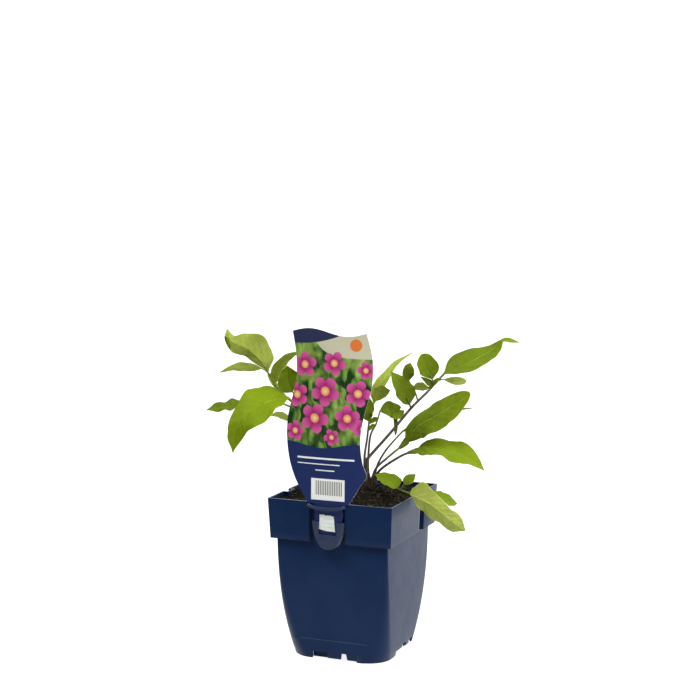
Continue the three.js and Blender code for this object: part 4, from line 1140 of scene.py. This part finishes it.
         "right": [2, 2.6, 2.6, 2.2, 1.6, 1], "face": (0.2, -0.75, 0.6), "wave": 0.2, "tone": (0.05, 0.1)},
    ]},
    "frond_hidden_right": {"stalks": [
        {"path": [(13.4, 10.4, 126), (13.4, 10.4, 140), (16, 12, 155), (21, 15, 166), (27, 17.7, 174.5),
         (36.5, 20.2, 185.5)], "foot": 0.9, "end": 0.6},
    ], "blades": [
        {"rib": [(35.5, 20, 184.5), (54, 25, 195), (74, 32, 203), (91.5, 37, 205.5)],
         "left": [3, 5, 5.5, 4.5, 3, 1], "right": [4, 6, 6.5, 5.5, 3.5, 1], "face": (0.1, -0.75, 0.65),
         "wave": 0.8, "tone": (0.2, 0.2)},
    ]},
    "frond_dark_right": {"stalks": [
        {"path": [(13, 6.2, 126), (13, 6.2, 140), (17, 6, 153.5), (26, 8.5, 163), (42, 12.6, 177)],
         "foot": 1, "end": 0.7},
    ], "blades": [
        {"rib": [(41, 12.5, 176), (50.5, 13, 190.5), (64, 14, 199.5), (79, 16, 209), (96, 18, 221)],
         "left": [6.5, 7.5, 9.5, 9.8, 9.8, 8.5], "right": [9, 14, 15.5, 15.5, 15, 10], "tip": 1.5,
         "face": (0, -0.8, 0.6), "round": True, "wave": 1, "tone": (0.1, 0.6)},
        {"rib": [(35, 10.7, 171), (38.6, 11.6, 174), (43, 12.7, 178.6)],
         "both": [1.1, 1.7, 2.1, 2.5, 3, 3.4], "tip": 3.6, "face": (0, -0.8, 0.6), "wave": 0.1,
         "tone": (0.1, 0.2)},
    ]},
    "frond_arching_right": {"stalks": [
        {"path": [(17, 7.2, 126), (17, 7.2, 140), (20, 6.2, 152), (36.5, 8.5, 164.5), (47, 9.5, 169.5),
         (52, 9.8, 170.3)], "foot": 1, "end": 0.7},
    ], "blades": [
        {"rib": [(50.5, 9.8, 170), (64, 9, 175), (82, 10, 174), (99, 11, 168), (110.5, 13, 158)],
         "left": [7, 8.5, 10, 11, 9.5, 5], "right": [8.5, 10, 11, 13.5, 11.5, 5], "face": (0.3, -0.5, 0.8),
         "wave": 1.2, "tone": (0.55, 0.8)},
        {"rib": [(42, 9.2, 167.7), (47, 9.5, 169.5), (53, 9.8, 170.9)], "both": [1, 1.6, 2, 2.5, 3, 3.5],
         "tip": 3.8, "face": (0.3, -0.5, 0.8), "wave": 0.1, "tone": (0.3, 0.4)},
    ]},
    "frond_drooping_right": {"stalks": [
        {"path": [(17.6, 2.4, 126), (17.6, 2.4, 138), (23.5, 1, 142.2), (32, -1.5, 142), (44, -7, 140),
         (55, -11.5, 138.5)], "foot": 1, "end": 0.7},
        {"path": [(44, -7, 140), (46, -6, 143), (47, -5.5, 145.5)]},
        {"path": [(50, -9.5, 139.2), (58, -5.5, 139.8), (68, 0.6, 138.4)]},
    ], "blades": [
        {"rib": [(54.5, -11, 138.5), (67.6, -9, 134), (79, -6, 126), (90, -4, 117), (99.5, -1.5, 110)],
         "left": [12, 14.5, 15, 14, 12.5, 11], "right": [16.5, 12, 9, 8.5, 8.5, 6.5], "rightFoot": 6,
         "leftTip": 2, "face": (-0.05, 0.85, 0.5), "wave": 0.8, "tone": (0.75, 0.6)},
        {"rib": [(40.5, -5.4, 140.5), (36, -6, 146.5), (29, -5.5, 149.5), (21, -5, 151)],
         "left": [4.5, 6.5, 8.5, 8, 6.5, 3.5], "right": [8.5, 8.5, 8, 7, 6, 4], "face": (0.3, -0.45, 0.85),
         "wave": 0.4, "tone": (0.75, 0.75)},
        {"rib": [(47, -5.5, 145), (50, -4, 149), (55, 0, 153)], "left": [2.5, 3.5, 4, 4, 3.5, 2],
         "right": [2.5, 4, 4.5, 5, 4.5, 2.5], "face": (0.25, -0.6, 0.75), "wave": 0.2, "tone": (0.75, 0.75)},
        {"rib": [(67.4, 0.5, 138.5), (75.3, 5.5, 135.3), (81.5, 10.5, 132), (86.1, 16, 127.6)],
         "left": [3, 5, 5.5, 5, 4, 2.5], "right": [4, 7, 8.5, 9, 8, 5], "face": (0.4, -0.4, 0.85),
         "wave": 0.5, "tone": (0.7, 0.6)},
        {"rib": [(31, -1.2, 142), (43.5, -6.8, 140), (54, -11, 138.6)], "left": [1.7, 3, 3.9, 4.4, 4.3, 3.2],
         "right": [0.7, 0.8, 0.8, 0.8, 0.8, 0.7], "face": (-0.05, 0.75, 0.6), "wave": 0.15,
         "tone": (0.1, 0.3)},
    ]},
}


def halfWidths(blade, side):
    tip = blade.get(side + "Tip", blade.get("tip", leaf["tip"]))
    return [blade.get(side + "Foot", leaf["foot"]), *blade.get(side, blade.get("both")), tip]


def leafMesh():
    # an empty mesh with the layers that the leaf's looks read
    bm = bmesh.new()
    return bm, bm.verts.layers.float_color.new("tone"), bm.loops.layers.uv.new("veins")


def bladeSheet(blade):
    # the blade's upper face as a grid, with its rib, side veins and waved edge
    rib = [Vector(point) for point in blade["rib"]]
    up = Vector(blade["face"]).normalized()
    halves = {-1: halfWidths(blade, "left"), 1: halfWidths(blade, "right")}
    curlSide, curlStart, curlInset, curlRadius = blade.get("curl", (0, 0, 0, 1))
    length = sum((onCurve(rib, (k + 1) / 40) - onCurve(rib, k / 40)).length for k in range(40))
    steps = int(clamp(round(length / leaf["alongStep"]), leaf["fewest"], leaf["most"]))
    halfSteps = leaf["halfSteps"]
    spacing = max(2.6, length / 8.5)
    waves = blade.get("waves", leaf["waves"])
    seed = rib[0].x * 3.7 + rib[0].z
    lastWidth = (len(halves[1]) - 2) / (len(halves[1]) - 1)

    def veinPlace(t, side, away):
        return (t * length - 0.8 * away - 0.02 * away ** 2) / spacing + (0.5 if side < 0 else 0)

    bm, tone, uv = leafMesh()
    bmesh.ops.create_grid(bm, x_segments=steps, y_segments=2 * halfSteps, size=1)
    spots = {}
    for vert in bm.verts:
        i = round((vert.co.x + 1) / 2 * steps)
        s = round((vert.co.y + 1) * halfSteps - halfSteps) / halfSteps
        t, side = i / steps, -1 if s < 0 else 1
        v = side * abs(s) ** leaf["spread"]
        heading = headingOn(rib, t)
        toLeft = up.cross(heading).normalized()
        lift = heading.cross(toLeft)
        width = alongValues(halves[side], t)
        if blade.get("round") and t > lastWidth:  # a full round tip in place of a straight one
            width = max(width, halves[side][-2] * math.sqrt((1 - t) / (1 - lastWidth)))
        away = abs(v) * width
        phase = leaf["wavePhase"] if side < 0 else 0
        raised = leaf["fold"] * (abs(v) - leaf["foldLevel"]) * width
        raised += blade["wave"] * math.sin(2 * math.pi * (waves * t + phase)) * v * v * math.sin(math.pi * t)
        # relief
        scale = clamp(width / 9, 0.2, 1)
        place = veinPlace(t, side, away)
        gap = abs(place - round(place)) * spacing
        fade = smoothStep(0.2, 1.2, away) * smoothStep(1.02, 0.8, abs(v))
        raised -= leaf["ribDepth"] * scale * math.exp(-(away / leaf["ribWidth"]) ** 2) * (1 - 0.6 * t)
        raised -= leaf["veinDepth"] * scale * math.exp(-(gap / leaf["veinWidth"]) ** 2) * fade
        raised -= leaf["pucker"] * scale * math.cos(2 * math.pi * place) * fade
        roll = Vector((t * length, side * away, seed * leaf["swayLength"])) / leaf["swayLength"]
        raised += leaf["sway"] * scale * smoothStep(0.5, 3.5, away) * noise.noise(roll)
        ripple = noise.noise(Vector((t * length / 4.5, side * 3, seed)))
        raised += leaf["edgeRipple"] * scale * 2 * ripple * v ** 4
        nick = leaf["edgeTrim"] * noise.noise(Vector((t * length / 6, side * 5, seed + 9)))
        across = abs(v) * width * (1 + nick * smoothStep(0.6, 1, abs(v)))
        if side == curlSide:
            inset = min(curlInset, 0.7 * width) * smoothStep(curlStart, curlStart + 0.3, t)
            bend = max(0, across - width + inset) / curlRadius
            across += curlRadius * (math.sin(bend) - bend)
            raised -= curlRadius * (1 - math.cos(bend))
        vert.co = onCurve(rib, t) - toLeft * (side * across) + lift * raised
        vert[tone] = (mix(*blade["tone"], t), t, 0, 1)
        spots[vert.index] = (t, away)
    bm.verts.index_update()
    for face in bm.faces:
        middle = sum(s.vert.index // (steps + 1) for s in face.loops) / 4
        side = -1 if middle < halfSteps else 1
        for loop in face.loops:
            t, away = spots[loop.vert.index]
            loop[uv].uv = (veinPlace(t, side, away), away / 10)
    bm.normal_update()
    if sum((face.normal.dot(up) for face in bm.faces), 0.0) < 0:
        bmesh.ops.reverse_faces(bm, faces=bm.faces)
    return bm


def bladeSolid(blade):
    sheet = bladeSheet(blade)
    count = len(sheet.faces)
    bm = withModifiers(sheet, shell(leaf["thick"]))
    for face in bm.faces[:][count:]:
        face.material_index = 1
    return bm


def strandSolid(points, radii, sides, steps, tones, index):
    bm, tone, _ = leafMesh()
    tube(bm, points, radii, sides, steps, tones, tone)
    bmesh.ops.recalc_face_normals(bm, faces=bm.faces)
    paintAll(bm, index)
    return bm


def ribStrand(blade):
    # the midrib that stands proud below
    rib = [Vector(point) for point in blade["rib"]]
    up = Vector(blade["face"]).normalized()
    halves = [halfWidths(blade, side) for side in ("left", "right")]
    width = max(max(half[1:-1]) for half in halves)
    thick = clamp(width / 32, 0.14, 0.42)
    points = []
    for k in range(9):
        t = k / 8 * 0.94
        heading = headingOn(rib, t)
        lift = heading.cross(up.cross(heading).normalized())
        sink = leaf["foldLevel"] * leaf["fold"] * min(alongValues(half, t) for half in halves)
        drop = leaf["ribDepth"] * clamp(width / 9, 0.2, 1) * (1 - 0.6 * t)
        points.append(onCurve(rib, t) - lift * (sink + drop + 0.7 * thick * (1 - 0.7 * t)))
    radii = [thick, thick * 0.8, thick * 0.55, thick * 0.3]
    return strandSolid(points, radii, 7, 22, lambda t: (mix(*blade["tone"], t), t, 1, 1), 1)


def stalkSolid(stalk, main, fresh):
    points = [Vector(point) for point in stalk["path"]]
    length = sum((b - a).length for a, b in zip(points, points[1:]))
    foot, end = stalk.get("foot", leaf["sideFoot"]), stalk.get("end", leaf["sideEnd"])
    radii = [foot, mix(foot, end, 0.5), end] if main else [foot, end, end * 0.8]
    radii = [radius * leaf["stalkScale"] for radius in radii]
    start = 0.0 if main else leaf["sideTone"]
    steps = max(6, round(length / leaf["stalkStep"]))
    return strandSolid(points, radii, leaf["stalkSides"], steps,
                       lambda t: (mix(start, 1, t) + fresh, 0, 0, 1), 2)


def leafTone(look, patches, swing):
    # the blade's tone, partly its own colour and partly painted shade on blades that sit in shadow, varied by
    # soft patches
    tone = look.add("Attribute", attribute_name="tone").outputs["Color"]
    tone = look.add("SeparateColor", {0: tone}).outputs[0]
    return look.plus(tone, look.calc("MULTIPLY_ADD", patches, swing, -swing / 2))


def leafVeins(look, edge, core):
    # the side veins and the place across the blade
    spot = look.add("SeparateXYZ", {0: look.add("UVMap", uv_map="veins").outputs[0]}).outputs
    vein = look.between(look.calc("PINGPONG", spot["X"], 0.5), edge, core)
    return look.times(vein, look.between(spot["Y"], 0.03, 0.15)), spot["Y"]


def leafNet(look, scale, edge):
    cells = look.add("TexVoronoi", {"Vector": look.place(), "Scale": scale}, feature="DISTANCE_TO_EDGE")
    return look.between(cells.outputs["Distance"], edge, 0.03)


def leafUpper():
    look = Nodes("leafUpper", Specular_IOR_Level=0.11)
    vein, across = leafVeins(look, 0.075, 0.015)
    net = leafNet(look, 620, 0.14)
    level = look.between(leafTone(look, look.noise(13), 0.5), 0, 1)
    shade = look.blend(level, leafColours["upperDark"], leafColours["upperLight"])
    shade = look.blend(look.times(net, 0.14), shade, leafColours["upperVein"])
    shade = look.blend(look.times(vein, 0.16), shade, leafColours["upperVein"])
    shade = look.blend(look.times(look.between(across, 0.065, 0.02), 0.1), shade, leafColours["upperRib"])
    look.colour(shade)
    look.rough(look.noise(5, detail=4), 0.3, 0.7, 0.5, 0.68)
    look.bump(net, -0.05)
    look.bump(look.noise(1.1), 0.07)
    return look.material


def leafUnder():
    look = Nodes("leafUnder", Roughness=0.75, Specular_IOR_Level=0.15)
    vein = leafVeins(look, 0.085, 0.02)[0]
    net = leafNet(look, 520, 0.16)
    level = look.between(leafTone(look, look.noise(15), 0.5), 0, 1)
    shade = look.blend(level, leafColours["underDark"], leafColours["underLight"])
    shade = look.blend(look.times(net, 0.2), shade, leafColours["underNet"])
    look.colour(look.blend(look.times(vein, 0.2), shade, leafColours["underVein"]))
    look.bump(look.calc("MAXIMUM", net, vein), 0.1)
    look.bump(look.noise(0.8), 0.06)
    return look.material


def stalkSkin():
    look = Nodes("stalkSkin", Roughness=0.5)
    streaks = look.noise(1.6, stretch=(1, 1, 0.25))
    level = look.between(leafTone(look, streaks, 0.4), 0.62, 0.98)
    purple = look.blend(look.between(streaks, 0.35, 0.65), leafColours["stalkDark"], leafColours["stalkPale"])
    look.colour(look.blend(level, purple, leafColours["stalkGreen"]))
    look.bump(streaks, 0.12)
    return look.material


def makeFronds():
    looks = [leafUpper(), leafUnder(), stalkSkin()]
    for node, frond in fronds.items():
        bm = leafMesh()[0]
        for k, stalk in enumerate(frond["stalks"]):
            addInto(bm, stalkSolid(stalk, k == 0, frond.get("fresh", 0)))
        for blade in frond["blades"]:
            addInto(bm, bladeSolid(blade))
            addInto(bm, ribStrand(blade))
        makePiece(node.replace("frond", "leafy"), bm, looks, [node], sharpAngle=50)


makeFronds()
